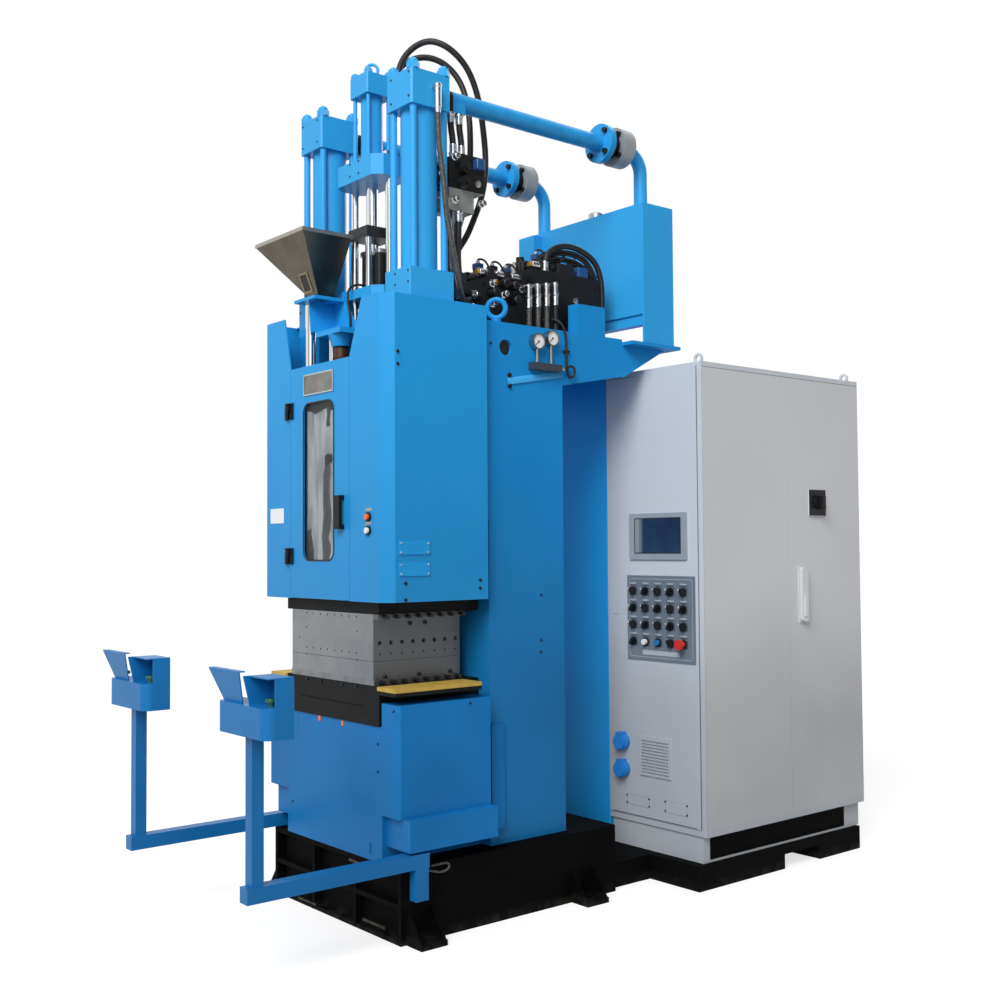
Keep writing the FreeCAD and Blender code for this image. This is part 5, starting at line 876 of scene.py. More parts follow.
@dataclass
class Hydraulics:
    """Hoses of the machine as smooth lines, with crimped ends, and what sits on the valves.

    Each route is the control points of one hose, end to end, as the solids have them.
    """

    small: float = 0.010
    tower_top: float = 2.464
    manifold_top: float = 2.400
    manifold_side: float = 0.295
    manifold_front: float = 0.330
    rear_side: float = 0.366
    rear_front: float = 0.096
    coil_rows: tuple[float, ...] = (0.372, 0.444, 0.516)
    tower_rows: tuple[float, ...] = (0.640, 0.744, 0.848)
    side_face: float = 0.290
    elbow_x: float = 0.344
    elbow_y: float = 0.500
    elbow_z: float = 2.338
    drops: int = 4
    drop_apart: float = 0.046
    drop_rise: float = 0.009
    drop_foot: float = 2.211
    hoses: tuple[Hose, ...] = (
        Hose("pilot_hose_near", 0.012, 0.159, [
            (.332, .13, 2.98), (.332, .13, 2.93), (.332, .142, 2.876), (.332, .142, 2.822)], 0.040),
        Hose("pilot_hose_far", 0.012, 0.159, [
            (.332, .17, 2.98), (.332, .17, 2.93), (.332, .182, 2.876), (.332, .182, 2.822)], 0.040),
        Hose("bundle_hose_left", 0.012, 0.473, [
            (.282, .146, 2.604), (.282, .146, 2.524), (.27, .15, 2.444), (.252, .17, 2.372),
            (.1865, .218, 2.322), (.115, .266, 2.3), (.115, .33, 2.3)], 0.040),
        Hose("bundle_hose_middle", 0.012, 0.469, [
            (.32, .146, 2.604), (.32, .146, 2.524), (.308, .15, 2.444), (.29, .17, 2.372),
            (.228, .218, 2.322), (.16, .266, 2.3), (.16, .33, 2.3)], 0.040),
        Hose("bundle_hose_right", 0.012, 0.464, [
            (.358, .146, 2.604), (.358, .146, 2.524), (.346, .15, 2.444), (.328, .17, 2.372),
            (.2695, .218, 2.322), (.205, .266, 2.3), (.205, .33, 2.3)], 0.040),
        Hose("arch_hose", 0.012, 0.689, [
            (.275, .645, 2.464), (.275, .645, 2.522), (.277, .691, 2.568), (.281, .767, 2.588),
            (.283, .851, 2.574), (.283, .919, 2.54), (.283, .951, 2.474), (.283, .955, 2.394),
            (.283, .953, 2.314), (.283, .953, 2.21)], 0.040),
        Hose("gauge_line", 0.005, 0.439, [
            (.295, .612, 2.26), (.335, .612, 2.26), (.379, .632, 2.248), (.39, .652, 2.2), (.39, .653, 2.146),
            (.39, .652, 2.092), (.391, .653, 2.05), (.395, .666, 2.022), (.399, .686, 2.032),
            (.402, .688, 2.06), (.402, .666, 2.072), (.398, .64, 2.054), (.398, .612, 2.054)], 0.020))
    cap_line: Hose = Hose("cap_line", 0.010, 0.915, [
        (.41, .014, 2.96), (.41, .014, 2.84), (.41, .038, 2.7), (.41, .05, 2.57), (.41, .076, 2.46),
        (.404, .102, 2.37), (.372, .142, 2.308), (.322, .2, 2.264), (.262, .254, 2.252),
        (.262, .33, 2.252)], 0.030)
    loops: tuple[Hose, ...] = (
        Hose("loop_hose_outer", 0.012, 1.455, [
            (.058, .082, 3.131), (.058, .082, 3.208), (.081, .095, 3.262), (.122, .119, 3.299),
            (.173, .148, 3.311), (.212, .186, 3.294), (.232, .234, 3.262), (.238, .284, 3.218),
            (.236, .326, 3.152), (.232, .354, 3.072), (.228, .372, 2.982), (.228, .382, 2.888),
            (.23, .376, 2.796), (.232, .352, 2.708), (.234, .316, 2.63), (.234, .282, 2.56),
            (.234, .246, 2.51), (.233, .214, 2.466), (.233, .206, 2.421), (.233, .222, 2.381),
            (.233, .25, 2.351), (.233, .288, 2.337), (.233, .33, 2.337)]),
        Hose("loop_hose_inner", 0.012, 1.347, [
            (.022, .082, 3.131), (.022, .082, 3.184), (.035, .106, 3.237), (.06, .144, 3.272),
            (.092, .192, 3.284), (.126, .238, 3.268), (.156, .276, 3.228), (.18, .302, 3.172),
            (.196, .314, 3.106), (.204, .322, 3.026), (.208, .322, 2.91), (.207, .316, 2.81),
            (.206, .3, 2.718), (.204, .278, 2.633), (.204, .25, 2.56), (.203, .224, 2.503),
            (.203, .208, 2.453), (.203, .206, 2.411), (.203, .226, 2.375), (.203, .256, 2.349),
            (.203, .294, 2.337), (.203, .33, 2.337)]))

    def build(self) -> None:
        """Adds every hose, the crimped ends and the valves' trim."""
        self.fixed()
        self.looping()
        self.valves()
        self.cables()
        self.cartridges()
        self.rear_block()

    def ends(self, line: Array, radius: float, length: float) -> Surface:
        """A crimped end on each end of a line, facing along it."""
        end = crimped_end(radius, length)
        up = (0.3, 0.5, 0.8)
        first = end.placed(tuple(line[0]), tuple(line[2] - line[0]), up)
        last = end.placed(tuple(line[-1]), tuple(line[-3] - line[-1]), up)
        return joined(first, last)

    def lay(self, hose: Hose, finish: Finish, node: str, body: str, ends: Surface) -> bpy.types.Object:
        """One hose as a tube on its line, with its crimped ends.

        Args:
            hose: the hose.
            finish: rubber or sleeve.
            node: the CAD node that it stands for.
            body: the body that carries it, or nothing where it bends between two.
            ends: the steel ends, which ride on the machine.

        Returns:
            The tube.
        """
        line = smooth_line(hose.route)
        tube = make_piece(hose.name, swept(line, hose.radius, 12 if hose.radius < 0.008 else 14), finish,
                          body, 60.0)
        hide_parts(node)
        steel = make_piece(hose.name + "_ends", ends, ZINC)
        return tube

    def fixed(self) -> None:
        """Hoses between fittings on the machine: black ones, sleeved grey ones, and their ends."""
        for hose in (*self.hoses, self.cap_line):
            finish = HOSE_GREY if hose is self.cap_line else HOSE_RUBBER
            ends = self.ends(smooth_line(hose.route), hose.radius, hose.end)
            self.lay(hose, finish, "fixed_hoses", "machine", ends)
        for number in range(self.drops):
            y, top = self.elbow_y + self.drop_apart * number, self.elbow_z + self.drop_rise * number
            middle = (self.elbow_x, y + 0.001, (top + 2.21) / 2)
            route = [(self.elbow_x, y, top), middle, (self.elbow_x, y, self.drop_foot)]
            drop = Hose(f"drop_hose_{number + 1}", self.small, top - self.drop_foot, route)
            self.lay(drop, HOSE_RUBBER if number == self.drops - 1 else HOSE_GREY, "fixed_hoses", "machine",
                     crimped_end(self.small, 0.052).placed((self.elbow_x, y, top + 0.002), (0, 0, -1)))

    def looping(self) -> None:
        """The two hoses that flex as the injection unit travels: their upper ends ride with it."""
        for hose in self.loops:
            lower = crimped_end(hose.radius, 0.034).placed(hose.route[-1], FRONT, UP)
            tube = self.lay(hose, HOSE_RUBBER, "loop_hoses", "", lower)
            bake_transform(tube)
            upper = crimped_end(hose.radius).placed(hose.route[0])
            make_piece(hose.name + "_upper_end", upper, ZINC, "clamp_carriage")

    def valves(self) -> None:
        """Brass end rings, silver nuts, plug caps and a tied wiring loom on the valve stack."""
        ring = turned([(0.019, 0), (0.019, 0.006), (0.016, 0.008)], 24)
        nut = turned([(0.012, 0.008), (0.012, 0.014), (0.010, 0.016)], 6)
        end = facing(ring, RIGHT)
        silver = facing(nut, RIGHT)
        rear = [(0.219, y, 2.423) for y in self.coil_rows]
        tower = [(0.2555, y, 2.493) for y in self.tower_rows]
        make_piece("coil_end_rings", joined(row(end, rear[:2]), row(end, tower[1:2])), BRASS)
        steel = joined(row(end, rear[2:]), row(end, [tower[0], tower[2]]), row(silver, rear + tower))
        make_piece("coil_end_nuts", steel, ZINC)
        cap = slab(0.034, 0.034, 0.022, 0.004, 0.003)
        blue = [(0.186, 0.372, 2.452), (0.1865, 0.516, 2.452), (0.2275, 0.640, 2.520), (0.2275, 0.848, 2.520)]
        make_piece("valve_plugs_blue", row(cap, blue), PLUG_BLUE)
        black = [(0.186, 0.444, 2.452), (-0.046, 0.372, 2.452), (-0.046, 0.444, 2.452),
                 (-0.046, 0.516, 2.452), (0.2275, 0.744, 2.520)]
        make_piece("valve_plugs_black", row(cap, black), COIL_BLACK)
        gland = turned([(0.009, 0), (0.009, 0.005), (0.0075, 0.006), (0.0075, 0.011), (0.005, 0.013)], 12)
        tops = [(x, y, z + 0.022) for x, y, z in blue + black]
        make_piece("plug_glands", row(gland, tops), ZINC)
        bolts = [(x, self.manifold_front, z) for x in (-0.130, 0.000, 0.272) for z in (2.236, 2.376)]
        heads = facing(screw_head(0.0075, 0.006, 14), FRONT)
        side = [(self.manifold_side, y, z) for y in (0.700, 0.905) for z in (2.250, 2.430)]
        heads = joined(row(heads, bolts), row(facing(screw_head(0.0075, 0.006, 14), RIGHT), side))
        make_piece("manifold_screws", heads, BLACK_OXIDE)
        plug = turned([(0.013, 0), (0.013, 0.006), (0.011, 0.007), (0.006, 0.007), (0.0055, 0.003)], 18)
        ports = [(self.manifold_side, 0.790, 2.360), (self.manifold_side, 0.850, 2.300),
                 (self.rear_side, 0.230, 2.72)]
        make_piece("manifold_port_plugs", row(facing(plug, RIGHT), ports), ZINC)

    def cables(self) -> None:
        """Leads from the coils' plugs into looms, and the loom that follows the arch hose over the tower."""
        plugs = [(0.186, 0.372), (0.1865, 0.516), (0.186, 0.444), (-0.046, 0.372), (-0.046, 0.444),
                 (-0.046, 0.516)]
        leads = [[(x, y, 2.486), (x, y, 2.491), (x + 0.012, y + 0.012, 2.492), (x + 0.026, y + 0.024, 2.478),
                  (x + 0.034, y + 0.032, 2.448), (x + 0.036, y + 0.034, 2.412)] for x, y in plugs]
        leads += [[(0.2275, y, 2.554), (0.2275, y, 2.560), (0.236, y + 0.014, 2.562),
                   (0.252, y + 0.030, 2.548), (0.262, y + 0.044, 2.512),
                   (0.264, y + 0.050, 2.472)] for y in self.tower_rows]
        tubes = [swept(smooth_line(route, 6), 0.0042, 8) for route in leads]
        arch = [(0.244, 0.596, 2.468), (0.250, 0.626, 2.514), (0.258, 0.684, 2.552), (0.268, 0.760, 2.568),
                (0.276, 0.836, 2.560), (0.280, 0.892, 2.528), (0.281, 0.924, 2.470)]
        low = [(0.262, 0.566, 2.472), (0.266, 0.610, 2.494), (0.270, 0.664, 2.520), (0.274, 0.740, 2.536),
               (0.278, 0.820, 2.528), (0.282, 0.880, 2.500), (0.283, 0.912, 2.468)]
        front = [(0.284, 0.340, 2.404), (0.282, 0.380, 2.412), (0.276, 0.430, 2.406), (0.282, 0.490, 2.412),
                 (0.276, 0.548, 2.406)]
        for route, radius in ((arch, 0.0065), (low, 0.0055), (front, 0.005)):
            tubes += [swept(smooth_line([(x + dx, y + dy, z + dz) for x, y, z in route], 6), radius, 8)
                      for dx, dy, dz in ((0.0, 0.0, 0.0), (-0.013, -0.004, 0.003), (-0.006, 0.002, -0.011))]
        make_piece("valve_wiring", joined(*tubes), HOSE_RUBBER, crease=60.0)

    def cartridges(self) -> None:
        """Coils that lie towards the front, screw-in cartridges and test points between the valves."""
        coil = turned([(0.0125, 0), (0.0125, 0.006), (0.016, 0.008), (0.016, 0.044), (0.0145, 0.046)], 24)
        ring = facing(turned([(0.0125, 0.046), (0.0125, 0.053), (0.011, 0.055)], 24), FRONT)
        spots = [(0.262, 0.358, 2.420), (0.262, 0.438, 2.420), (0.262, 0.518, 2.420), (0.262, 0.626, 2.487),
                 (0.240, 0.806, 2.487)]
        make_piece("front_coils", row(facing(coil, FRONT), spots), ZINC)
        make_piece("front_coil_rings", row(ring, spots[:2] + spots[3:4]), BRASS)
        foot = slab(0.038, 0.024, 0.038, 0.002, 0.001)
        feet = row(foot, [(x, y + 0.010, z - 0.020) for x, y, z in spots])
        barrel = turned([(0.016, 0), (0.017, 0.003), (0.017, 0.040), (0.014, 0.044), (0.006, 0.044),
                         (0.006, 0.052)], 20)
        top = [(x, y, self.tower_top) for x, y in ((0.205, 0.588), (0.240, 0.692), (0.205, 0.796),
                                                   (0.150, 0.905), (0.100, 0.588), (0.070, 0.692))]
        dark = row(barrel, top)
        make_piece("valve_barrels", joined(dark, feet), COIL_BLACK)
        block = slab(0.030, 0.090, 0.041, 0.003, 0.001).moved((0.278, 0.745, self.tower_top))
        switch = slab(0.024, 0.052, 0.020, 0.003, 0.001).moved((0.276, 0.364, self.manifold_top))
        make_piece("tower_side_valves", joined(block, switch), COIL_BLACK)
        blue = slab(0.031, 0.056, 0.041, 0.004, 0.002).moved((0.278, 0.840, self.tower_top))
        make_piece("tower_side_coil", blue, PLUG_BLUE)
        low_spots = [(self.side_face, 0.352, 2.374), (self.side_face, 0.352, 2.296),
                     (self.side_face, 0.410, 2.338), (self.side_face, 0.500, 2.372)]
        side = turned([(0.017, 0), (0.017, 0.012), (0.0125, 0.014), (0.0125, 0.032), (0.010, 0.034)], 6)
        make_piece("manifold_side_fittings", row(facing(side, RIGHT), low_spots), ZINC)
        ring = facing(turned([(0.009, 0.034), (0.009, 0.040), (0.0075, 0.042)], 18), RIGHT)
        make_piece("manifold_side_rings", row(ring, low_spots[:2]), BRASS)
        beside = [(self.side_face, 0.404, 2.378), (self.side_face, 0.352, 2.336),
                  (self.side_face, 0.458, 2.318), (self.side_face, 0.452, 2.374)]
        make_piece("manifold_side_valves", row(facing(barrel, RIGHT), beside), COIL_BLACK)
        cartridge = turned([(0.0165, 0), (0.0165, 0.014), (0.012, 0.017), (0.012, 0.040), (0.009, 0.043),
                            (0.006, 0.043), (0.006, 0.054)], 6)
        point = turned([(0.008, 0), (0.008, 0.010), (0.0065, 0.012), (0.0085, 0.014), (0.0085, 0.028),
                        (0.007, 0.030)], 12)
        high = [(x, y, self.tower_top)
                for x, y in ((0.150, 0.588), (0.190, 0.692), (0.130, 0.796), (0.200, 0.905))]
        low = [(x, y, self.manifold_top) for x, y in ((0.226, 0.407), (0.150, 0.480), (0.020, 0.480))]
        steel = joined(row(cartridge, [*high, (-0.122, 0.430, self.manifold_top)]),
                       row(point, [(0.236, 0.900, self.tower_top), *low]))
        make_piece("valve_cartridges", steel, ZINC)

    def rear_block(self) -> None:
        """Fittings, a coil plug and two bare steel lines on the valve block behind the right column."""
        stub = turned([(0.015, 0), (0.015, 0.012), (0.0115, 0.014), (0.0115, 0.030), (0.009, 0.032)], 20)
        ahead = row(facing(stub, FRONT), [(0.288, self.rear_front, 2.790), (0.340, self.rear_front, 2.735),
                                          (0.288, self.rear_front, 2.700), (0.330, self.rear_front, 2.650)])
        side = row(facing(stub, RIGHT), [(self.rear_side, 0.115, 2.640), (self.rear_side, 0.240, 2.645),
                                         (self.rear_side, 0.115, 2.800)])
        make_piece("rear_block_fittings", joined(ahead, side), ZINC)
        upper = facing(slab(0.036, 0.040, 0.026, 0.004, 0.003), RIGHT).moved((self.rear_side, 0.228, 2.790))
        lower = facing(slab(0.034, 0.034, 0.022, 0.004, 0.003), FRONT).moved((0.345, self.rear_front, 2.690))
        plug = joined(upper, lower)
        make_piece("rear_block_plugs", plug, PLUG_BLUE)
        lines = [[(x, 0.126, 2.604), (x, 0.126, 2.540), (x - 0.004, 0.126, 2.470), (x - 0.010, 0.134, 2.400),
                  (x - 0.030, 0.160, 2.340), (x - 0.060, 0.200, 2.300)] for x in (0.336, 0.352)]
        make_piece("rear_block_lines", joined(*[swept(smooth_line(route, 8), 0.0045, 10) for route in lines]),
                   ZINC)


@dataclass
class PressTrim:
    """Screws and small steel on the press: cylinder blocks, crosshead, frame, table and mould."""

    table_front: float = -0.187
    mould_side: float = 0.284
    mould_parting: float = 0.958
    frame_side: float = 0.381
    housing_front: float = -0.182
    cover_side: float = 0.435
    base_front: float = -0.178

    def build(self) -> None:
        """Adds the press's small fasteners and lines."""
        tiny = screw_head(0.0042, 0.002, 12)
        blocks = [(s * x, -0.097, z) for s in (-1, 1) for x in (0.296, 0.378) for z in (2.309, 2.348)]
        caps = [(s * x, -0.088, z) for s in (-1, 1) for x in (0.261, 0.372) for z in (2.982, 3.070)]
        screw_row("cylinder_block_screws", tiny, FRONT, blocks + caps)
        cross = [(s * 0.030, -0.081, z) for s in (-1, 1) for z in (2.786, 2.832)]
        screw_row("crosshead_screws", tiny, FRONT, cross, "clamp_carriage")
        head = screw_head(0.0085, 0.008, 16)
        screw_row("frame_side_screws", head, RIGHT, [(self.frame_side, 0.365, z) for z in (2.011, 1.969)])
        dots = [(self.frame_side, y, z)
                for y, z in ((0.518, 1.175), (0.516, 1.002), (0.515, 0.957), (0.276, 2.124))]
        screw_row("frame_side_dots", screw_head(0.005, 0.003, 12), RIGHT, dots)
        self.frame_ledge()
        self.mould()
        self.housing()
        self.base()

    def frame_ledge(self) -> None:
        """Edge strip in a painted-highlight blue where the overhang's plate meets the cheek, a dark disc
        painted as the shade in its hole, the line's clip.
        """
        slope = (0, -0.178, 0.984)
        strip = slab(0.282, 0.026, 0.005, 0.002).placed((self.frame_side, 0.498, 2.012), RIGHT, slope)
        clip = slab(0.030, 0.010, 0.012, 0.002, 0.001).placed((self.frame_side, 0.656, 2.127), RIGHT, UP)
        # Painted highlight: the strip is painted paler where the ledge catches the light.
        make_piece("frame_edge_strip", strip, LEDGE_HIGHLIGHT_BLUE, crease=50.0)
        # Painted shade: a near-black disc inside the hole stands for the shade in it.
        hole = facing(turned([(0.0292, 0), (0.0292, 0.001)], 32), RIGHT).moved((0.366, 0.349, 2.115))
        make_piece("frame_hole_painted_shade", hole, SEAL_BLACK)
        make_piece("gauge_line_clip", clip, BLACK_CAP)

    def mould(self) -> None:
        """Cap screws and parting lines of the mould, and the screws on the table's front."""
        head = screw_head(0.0075, 0.006, 16)
        lower = [(self.mould_side, y, 0.902) for y in (-0.138, 0.010, 0.151)]
        seams = [seam(0.380, 0.0016, RIGHT).moved((self.mould_side, 0.000, self.mould_parting)),
                 seam(0.560, 0.0016).moved((0, self.table_front, self.mould_parting))]
        screw_row("mould_lower_screws", head, RIGHT, lower)
        make_piece("mould_lower_seams", joined(*seams), GROOVE)
        upper = [(self.mould_side, y, 1.088) for y in (-0.029, 0.038)]
        screw_row("mould_upper_screws", head, RIGHT, upper, "clamp_carriage")
        table = [(x, self.table_front, 0.862) for x in (-0.170, -0.071, 0.080, 0.171)]
        screw_row("table_front_screws", screw_head(0.006, 0.005, 14), FRONT, table)

    def housing(self) -> None:
        """Small things on the housing's front and the right cover: screws, seams, scale markers."""
        head = screw_head(0.0045, 0.003, 12)
        dots = [(x, self.housing_front, z)
                for x, z in ((0.304, 0.575), (0.304, 0.672), (-0.290, 0.672), (-0.290, 0.380))]
        side = [(self.cover_side, y, 0.800) for y in (-0.205, 0.127)]
        heads = joined(row(facing(head, FRONT), dots), row(facing(head, RIGHT), side))
        make_piece("housing_screws", heads, BLACK_OXIDE)
        line = [seam(0.0016, 0.085).moved((-0.251, self.housing_front, 0.688)),
                seam(0.030, 0.0016).moved((-0.236, self.housing_front, 0.646))]
        make_piece("housing_seams", joined(*line), GROOVE)
        tags = row(facing(slab(0.013, 0.020, 0.004, 0.002, 0.001), FRONT),
                   [(-0.087, self.housing_front, 0.722), (0.075, self.housing_front, 0.720)])
        make_piece("table_scale_markers", tags, ORANGE_CAP)

    def base(self) -> None:
        """Painted light streaks on the base's front, and a short conduit clipped to its right shoulder."""
        route = [(0.4365, -0.100, 0.246), (0.4385, -0.060, 0.240), (0.4395, -0.020, 0.226),
                 (0.4395, 0.014, 0.226), (0.4395, 0.030, 0.240), (0.4395, 0.018, 0.254),
                 (0.4385, -0.014, 0.254), (0.4365, -0.050, 0.252)]
        # Painted light: pale streaks where light falls on the base's ribs and through its openings.
        dust_and_painted_light = [facing(slab(w, h, 0.0012, 0.003, 0.0005), FRONT).moved((x, self.base_front, z))
                for w, h, x, z in ((0.120, 0.010, 0.166, 0.2325), (0.130, 0.008, -0.190, 0.018),
                                   (0.140, 0.010, 0.268, 0.040))]
        make_piece("base_painted_light_streaks", joined(*dust_and_painted_light), BASE_LIGHT_STREAKS)
        make_piece("base_conduit", swept(smooth_line(route, 8), 0.0042, 10), HOSE_GREY,
                   crease=60.0)


@dataclass
class HopperTrim:
    """Screws in the hopper's folded rim, and the sight plate on its front."""

    lip: float = 2.539
    rim_height: float = 2.546
    sight_height: float = 2.368
    lip_front: float = -0.301
    lean: float = 0.413

    def face_y(self, z: float) -> float:
        """Where the sloping front face stands at a height: y = front + lean (lip - z)."""
        return self.lip_front + self.lean * (self.lip - z)

    def build(self) -> None:
        """Adds the hopper's trim, all on the injection unit."""
        low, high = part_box("hopper")
        front = float(low[1])
        right = float(high[0])
        heads = facing(screw_head(0.0040, 0.0015, 12), FRONT)
        spots = [(x, front + 0.0040, self.rim_height) for x in (-0.345, -0.245, -0.100, -0.030)]
        side = facing(screw_head(0.0040, 0.0015, 12), RIGHT)
        more = [(right - 0.0040, y, self.rim_height) for y in (-0.280, -0.120)]
        lean = (0.0, -1.0, -self.lean)
        up = (0.0, -self.lean, 1.0)
        spot = (-0.106, self.face_y(self.sight_height), self.sight_height)
        pane = slab(0.048, 0.064, 0.0012, 0.003).placed(spot, lean, up)
        ring = frame_strip(0.062, 0.078, 0.008, 0.003, 0.004).placed(spot, lean, up)
        make_piece("hopper_sight_pane", pane, SEAL_BLACK, "clamp_carriage")
        make_piece("hopper_sight_frame", ring, SIGHT_FRAME, "clamp_carriage")
        make_piece("hopper_rim_screws", joined(row(heads, spots), row(side, more)), BLACK_OXIDE,
                   "clamp_carriage")


@dataclass
class GaugeFaces:
    """Dials of the two pressure gauges: enamel disc and tick ring."""

    x: float = 0.4055
    places: tuple[tuple[float, float], ...] = ((0.494, 2.150), (0.566, 2.169))
    tick_radius: float = 0.0225

    def build(self) -> None:
        """Adds the dials."""
        disc = turned([(0.0265, 0), (0.0265, 0.0006), (0.004, 0.0006)], 40)
        mark = slab(0.0006, 0.0034, 0.0002, 0.0002, 0.00005)
        discs = []
        ticks = []
        for y, z in self.places:
            discs.append(disc.placed((self.x + 0.0002, y, z), RIGHT, UP))
            for number, turn in enumerate(np.radians(np.linspace(-45, 225, 28))):
                tick = Surface(mark.points * np.array([1, 1.5 if number % 9 == 0 else 1.0, 1]), mark.faces)
                out = (0, math.cos(turn), math.sin(turn))
                spot = (self.x + 0.0009, y + self.tick_radius * out[1], z + self.tick_radius * out[2])
                ticks.append(tick.placed(spot, RIGHT, out))
        make_piece("gauge_dials", joined(*discs), DIAL_WHITE)
        make_piece("gauge_ticks", joined(*ticks), NEEDLE)


@dataclass
class CabinetTrim:
    """Screen, operator board, blanked plates, screws and seams of the control cabinet."""

    front: float = 1.120
    board: float = 1.116
    plinth_side: float = 0.646
    screen_x: float = 0.433
    screen_z: float = 1.4025
    screen_size: tuple[float, float] = (0.252, 0.142)
    gasket_size: tuple[float, float] = (0.258, 0.148)
    board_x: float = 0.4425
    outline_z: float = 1.061
    outline_size: tuple[float, float] = (0.352, 0.326)
    strip_z: float = 0.918
    knob_x: float = 0.290
    knob_z: float = 1.172
    pitch: float = 0.070
    openings: tuple[tuple[float, float, float, float], ...] = (
        (0.237, 0.364, 0.275, 0.305), (0.454, 0.573, 0.273, 0.310))

    def build(self) -> None:
        """Adds the cabinet's trim."""
        self.screen()
        self.operator_panel()
        self.lower_front()

    def screen(self) -> None:
        """Dark glass with a paler strip of reflection at its left, and a thin dark gasket round it."""
        place = (self.screen_x, self.front - 0.0082, self.screen_z)
        glass = slab(*self.screen_size, 0.0008, 0.002).placed(place, FRONT, UP)
        make_piece("screen_pane", glass, SCREEN_GLASS)
        spot = (self.screen_x, self.front - 0.0080, self.screen_z)
        gasket = frame_strip(*self.gasket_size, 0.004, 0.0012, 0.003).placed(spot, FRONT, UP)
        make_piece("screen_gasket", gasket, SEAL_BLACK)

    def operator_panel(self) -> None:
        """White outline, bare strip, dark escutcheons, pointer marks and tag strips round the knobs."""
        y = self.board
        middle = (self.board_x, y, self.outline_z)
        outline = frame_strip(*self.outline_size, 0.0022, 0.0003, 0.012).placed(middle, FRONT, UP)
        low = (self.board_x, y, self.strip_z)
        strip = slab(0.205, 0.019, 0.0004, 0.001, 0.0001).placed(low, FRONT, UP)
        make_piece("board_outline", joined(outline, strip), BOARD_LIGHT)
        grid = [(self.knob_x + self.pitch * across, y, self.knob_z - self.pitch * down)
                for down in range(4) for across in range(5)]
        plate = facing(slab(0.043, 0.046, 0.0006, 0.003, 0.0002), FRONT)
        make_piece("knob_escutcheons", row(plate.moved((0, 0, 0.004)), grid), BOARD_DARK)
        tag = facing(slab(0.034, 0.0055, 0.0004, 0.001, 0.0001), FRONT)
        small = facing(slab(0.0035, 0.0035, 0.0004, 0.001, 0.0001), FRONT)
        marks = joined(row(tag, [(x, y - 0.0004, z + 0.0325) for x, _, z in grid]),
                       row(small, [(x - 0.0165, y - 0.0006, z + 0.019) for x, _, z in grid]),
                       row(small, [(x + 0.0165, y - 0.0006, z + 0.019) for x, _, z in grid]))
        dot = facing(slab(0.0045, 0.0075, 0.0004, 0.001, 0.0001), FRONT)
        pointers = row(dot, [(x - 0.0075, y - 0.0235, z + 0.0105) for x, _, z in grid[:15]])
        make_piece("knob_pointers", pointers, PLATE_WHITE)
        make_piece("knob_tags_bare", marks, BOARD_LIGHT)

    def lower_front(self) -> None:
        """Two blanked openings with their screws, the panel's shadow lines, and a painted shade band on the
        plinth's side.
        """
        y = self.front
        thin = 0.0014
        lines = []
        faint = []
        for x0, x1, z0, z1 in self.openings:
            mid = (x0 + x1) / 2
            faint.append(seam(x1 - x0, thin * 1.6).moved((mid, y, z0)))
            faint.append(seam(x1 - x0, thin * 0.6).moved((mid, y, z1 + 0.012)))
            faint += [seam(thin * 0.7, z1 - z0 + 0.012).moved((x, y, (z0 + z1 + 0.012) / 2))
                      for x in (x0, x1)]
        lines.append(seam(0.034, thin).moved((0.180, y, 1.070)))
        for wide, tall, x, z in ((0.470, 0.0026, 0.392, 0.2345), (0.0022, 1.850, 0.6485, 1.158),
                                 (0.150, 0.002, 0.225, 2.078)):
            lines.append(seam(wide, tall).moved((x, y, z)))
        make_piece("cabinet_blanking_seams", joined(*faint), FAINT_GROOVE)
        # Painted shade: a black band on the plinth's side stands for the shade inside it.
        shade = facing(slab(0.900, 0.094, 0.0008, 0.004, 0.0003), RIGHT)
        shade = shade.moved((self.plinth_side, 1.620, 0.156))
        make_piece("plinth_side_painted_shade", shade, SKID_BLACK)
        make_piece("cabinet_front_lines", joined(*lines), GROOVE)
        spots = [(x, y, z) for x0, x1, z0, z1 in self.openings
                 for x in (x0, x1) for z in (z0 + 0.006, z1 + 0.006)]
        screw_row("cabinet_front_screws", screw_head(0.0042, 0.002, 12), FRONT, spots)


def seen_share(tree: bpy.types.NodeTree, other: float, seen: float) -> bpy.types.NodeSocket:
    """A strength that is one value to camera, gloss and glass rays, and another to the light it gives."""
    path = add(tree, "ShaderNodeLightPath")
    first = maths(tree, "MAXIMUM", path.outputs["Is Camera Ray"], path.outputs["Is Glossy Ray"])
    both = maths(tree, "MAXIMUM", first, path.outputs["Is Transmission Ray"])
    return ramp(tree, both, (0.0, 1.0), (other, seen))


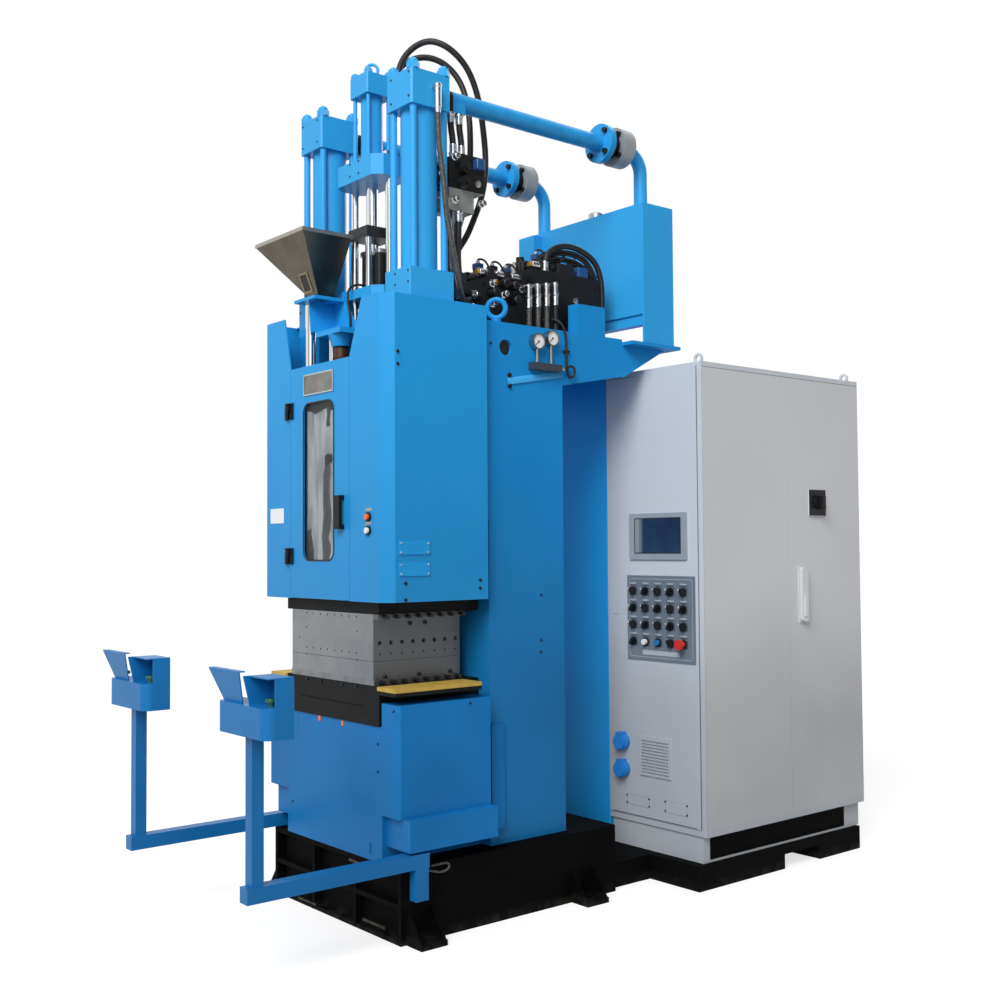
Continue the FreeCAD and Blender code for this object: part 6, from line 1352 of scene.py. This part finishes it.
@dataclass
class Stage:
    """Floor, light and camera.

    Each sun is a name, the direction that it comes from, its light on a facing wall as a share of
    white, and its spread in degrees. The camera's angles are yaw, pitch and roll in degrees.
    """

    sky_left: float = 0.38
    sky_right: float = 0.25
    gloss_right: float = 0.14
    overhead_place: Point = (2.9, -3.7, 6.0)
    overhead_watts: float = 170.0
    overhead_size: float = 3.0
    overhead_aim: Point = (0.0, 0.0, 1.9)
    floor_half: float = 60.0
    camera_place: Point = (3.8896, -2.5654, 1.3639)
    camera_angles: Point = (50.598, 2.175, -0.382)
    focal_length: float = 43.62
    suns: tuple[tuple[str, Point, float, float], ...] = (
        ("key", (0.40, -0.70, 0.59), 0.55, 35.0),
        ("fill", (0.78, -0.60, 0.20), 0.15, 40.0),
        ("rear", (-0.20, 0.86, 0.46), 0.34, 40.0))

    def build(self) -> None:
        """Builds the studio."""
        self.floor()
        self.world()
        self.lamps()
        self.camera()

    def floor(self) -> None:
        """Large pale floor: half its white is its own, so a soft shadow stays and the horizon goes white."""
        mesh = bpy.data.meshes.new("studio_floor")
        corners = [(x * self.floor_half, y * self.floor_half, 0)
                   for x, y in ((-1, -1), (1, -1), (1, 1), (-1, 1))]
        mesh.from_pydata(corners, [], [(0, 1, 2, 3)])
        floor = bpy.data.objects.new("studio_floor", mesh)
        bpy.context.scene.collection.objects.link(floor)
        material, tree = fresh_material("pale_floor")
        mottle = noise(tree, add(tree, "ShaderNodeTexCoord").outputs["Object"], 0.8, 3.0)
        grey = ramp(tree, mottle, (0.0, 1.0), (0.40, 0.43))
        matt = add(tree, "ShaderNodeBsdfDiffuse", inputs={"Color": grey})
        glow = seen_share(tree, 0.0, 0.68)
        own = add(tree, "ShaderNodeEmission", inputs={"Color": WHITE, "Strength": glow})
        both = add(tree, "ShaderNodeAddShader", inputs={0: matt.outputs[0], 1: own.outputs[0]})
        add(tree, "ShaderNodeOutputMaterial", inputs={"Surface": both.outputs[0]})
        mesh.materials.append(material)

    def world(self) -> None:
        """White to the camera and in glass; as a light and in gloss it is brighter at the operator's left."""
        world = bpy.data.worlds.new("studio")
        bpy.context.scene.world = world
        world.use_nodes = True
        tree = world.node_tree
        tree.nodes.clear()
        path = add(tree, "ShaderNodeLightPath")
        place = add(tree, "ShaderNodeTexCoord").outputs["Generated"]
        across = add(tree, "ShaderNodeSeparateXYZ", inputs={0: place}).outputs[0]
        diffuse = ramp(tree, across, (-0.5, 0.6), (self.sky_left, self.sky_right))
        gloss = ramp(tree, across, (-0.3, 0.5), (1.0, self.gloss_right))
        shares = {0: path.outputs["Is Glossy Ray"], 2: diffuse, 3: gloss}
        light = add(tree, "ShaderNodeMix", inputs=shares).outputs[0]
        clear = maths(tree, "MAXIMUM", path.outputs["Is Camera Ray"], path.outputs["Is Transmission Ray"])
        strength = add(tree, "ShaderNodeMix", inputs={0: clear, 2: light, 3: 1.0})
        back = add(tree, "ShaderNodeBackground", inputs={"Color": WHITE, "Strength": strength.outputs[0]})
        add(tree, "ShaderNodeOutputWorld", inputs={"Surface": back.outputs[0]})

    def lamps(self) -> None:
        """Far soft boxes as wide suns: key high in front, fill low at the right, one behind; an area lamp."""
        for name, aim, share, spread in self.suns:
            lamp = bpy.data.lights.new(name, "SUN")
            lamp.energy = share * math.pi
            lamp.angle = math.radians(spread)
            holder = bpy.data.objects.new(name, lamp)
            holder.rotation_euler = Vector(aim).to_track_quat("Z", "Y").to_euler()
            bpy.context.scene.collection.objects.link(holder)
        lamp = bpy.data.lights.new("overhead", "AREA")
        lamp.size = self.overhead_size
        lamp.energy = self.overhead_watts
        holder = bpy.data.objects.new("overhead", lamp)
        holder.location = self.overhead_place
        aim = Vector(self.overhead_aim) - holder.location
        holder.rotation_euler = aim.to_track_quat("-Z", "Y").to_euler()
        bpy.context.scene.collection.objects.link(holder)

    def camera(self) -> None:
        """Camera where the photograph was taken."""
        yaw, pitch, roll = np.radians(self.camera_angles)
        ahead = np.array([-math.sin(yaw) * math.cos(pitch), math.cos(yaw) * math.cos(pitch), math.sin(pitch)])
        right = np.array([math.cos(yaw), math.sin(yaw), 0.0])
        over = np.cross(right, ahead)
        turned_right = right * math.cos(roll) + over * math.sin(roll)
        turned_over = -right * math.sin(roll) + over * math.cos(roll)
        pose = np.eye(4)
        pose[:3, 0], pose[:3, 1], pose[:3, 2] = turned_right, turned_over, -ahead
        pose[:3, 3] = self.camera_place
        lens = bpy.data.cameras.new("photo_camera")
        lens.sensor_width = 36.0
        lens.lens = self.focal_length
        lens.clip_end = 200.0
        camera = bpy.data.objects.new("photo_camera", lens)
        camera.matrix_world = Matrix(pose.tolist())
        bpy.context.scene.collection.objects.link(camera)
        bpy.context.scene.camera = camera
        bpy.context.scene.view_settings.view_transform = "Standard"


def main() -> None:
    """Builds the studio, dresses the solids and adds the trim."""
    logging.basicConfig(level=logging.INFO, format="%(message)s")
    Stage().build()
    dress_nodes()
    for part in (HoodTrim(), Hydraulics(), PressTrim(), HopperTrim(), GaugeFaces(), CabinetTrim()):
        part.build()
        log.info("%s done", type(part).__name__)


if __name__ == "__main__":
    main()
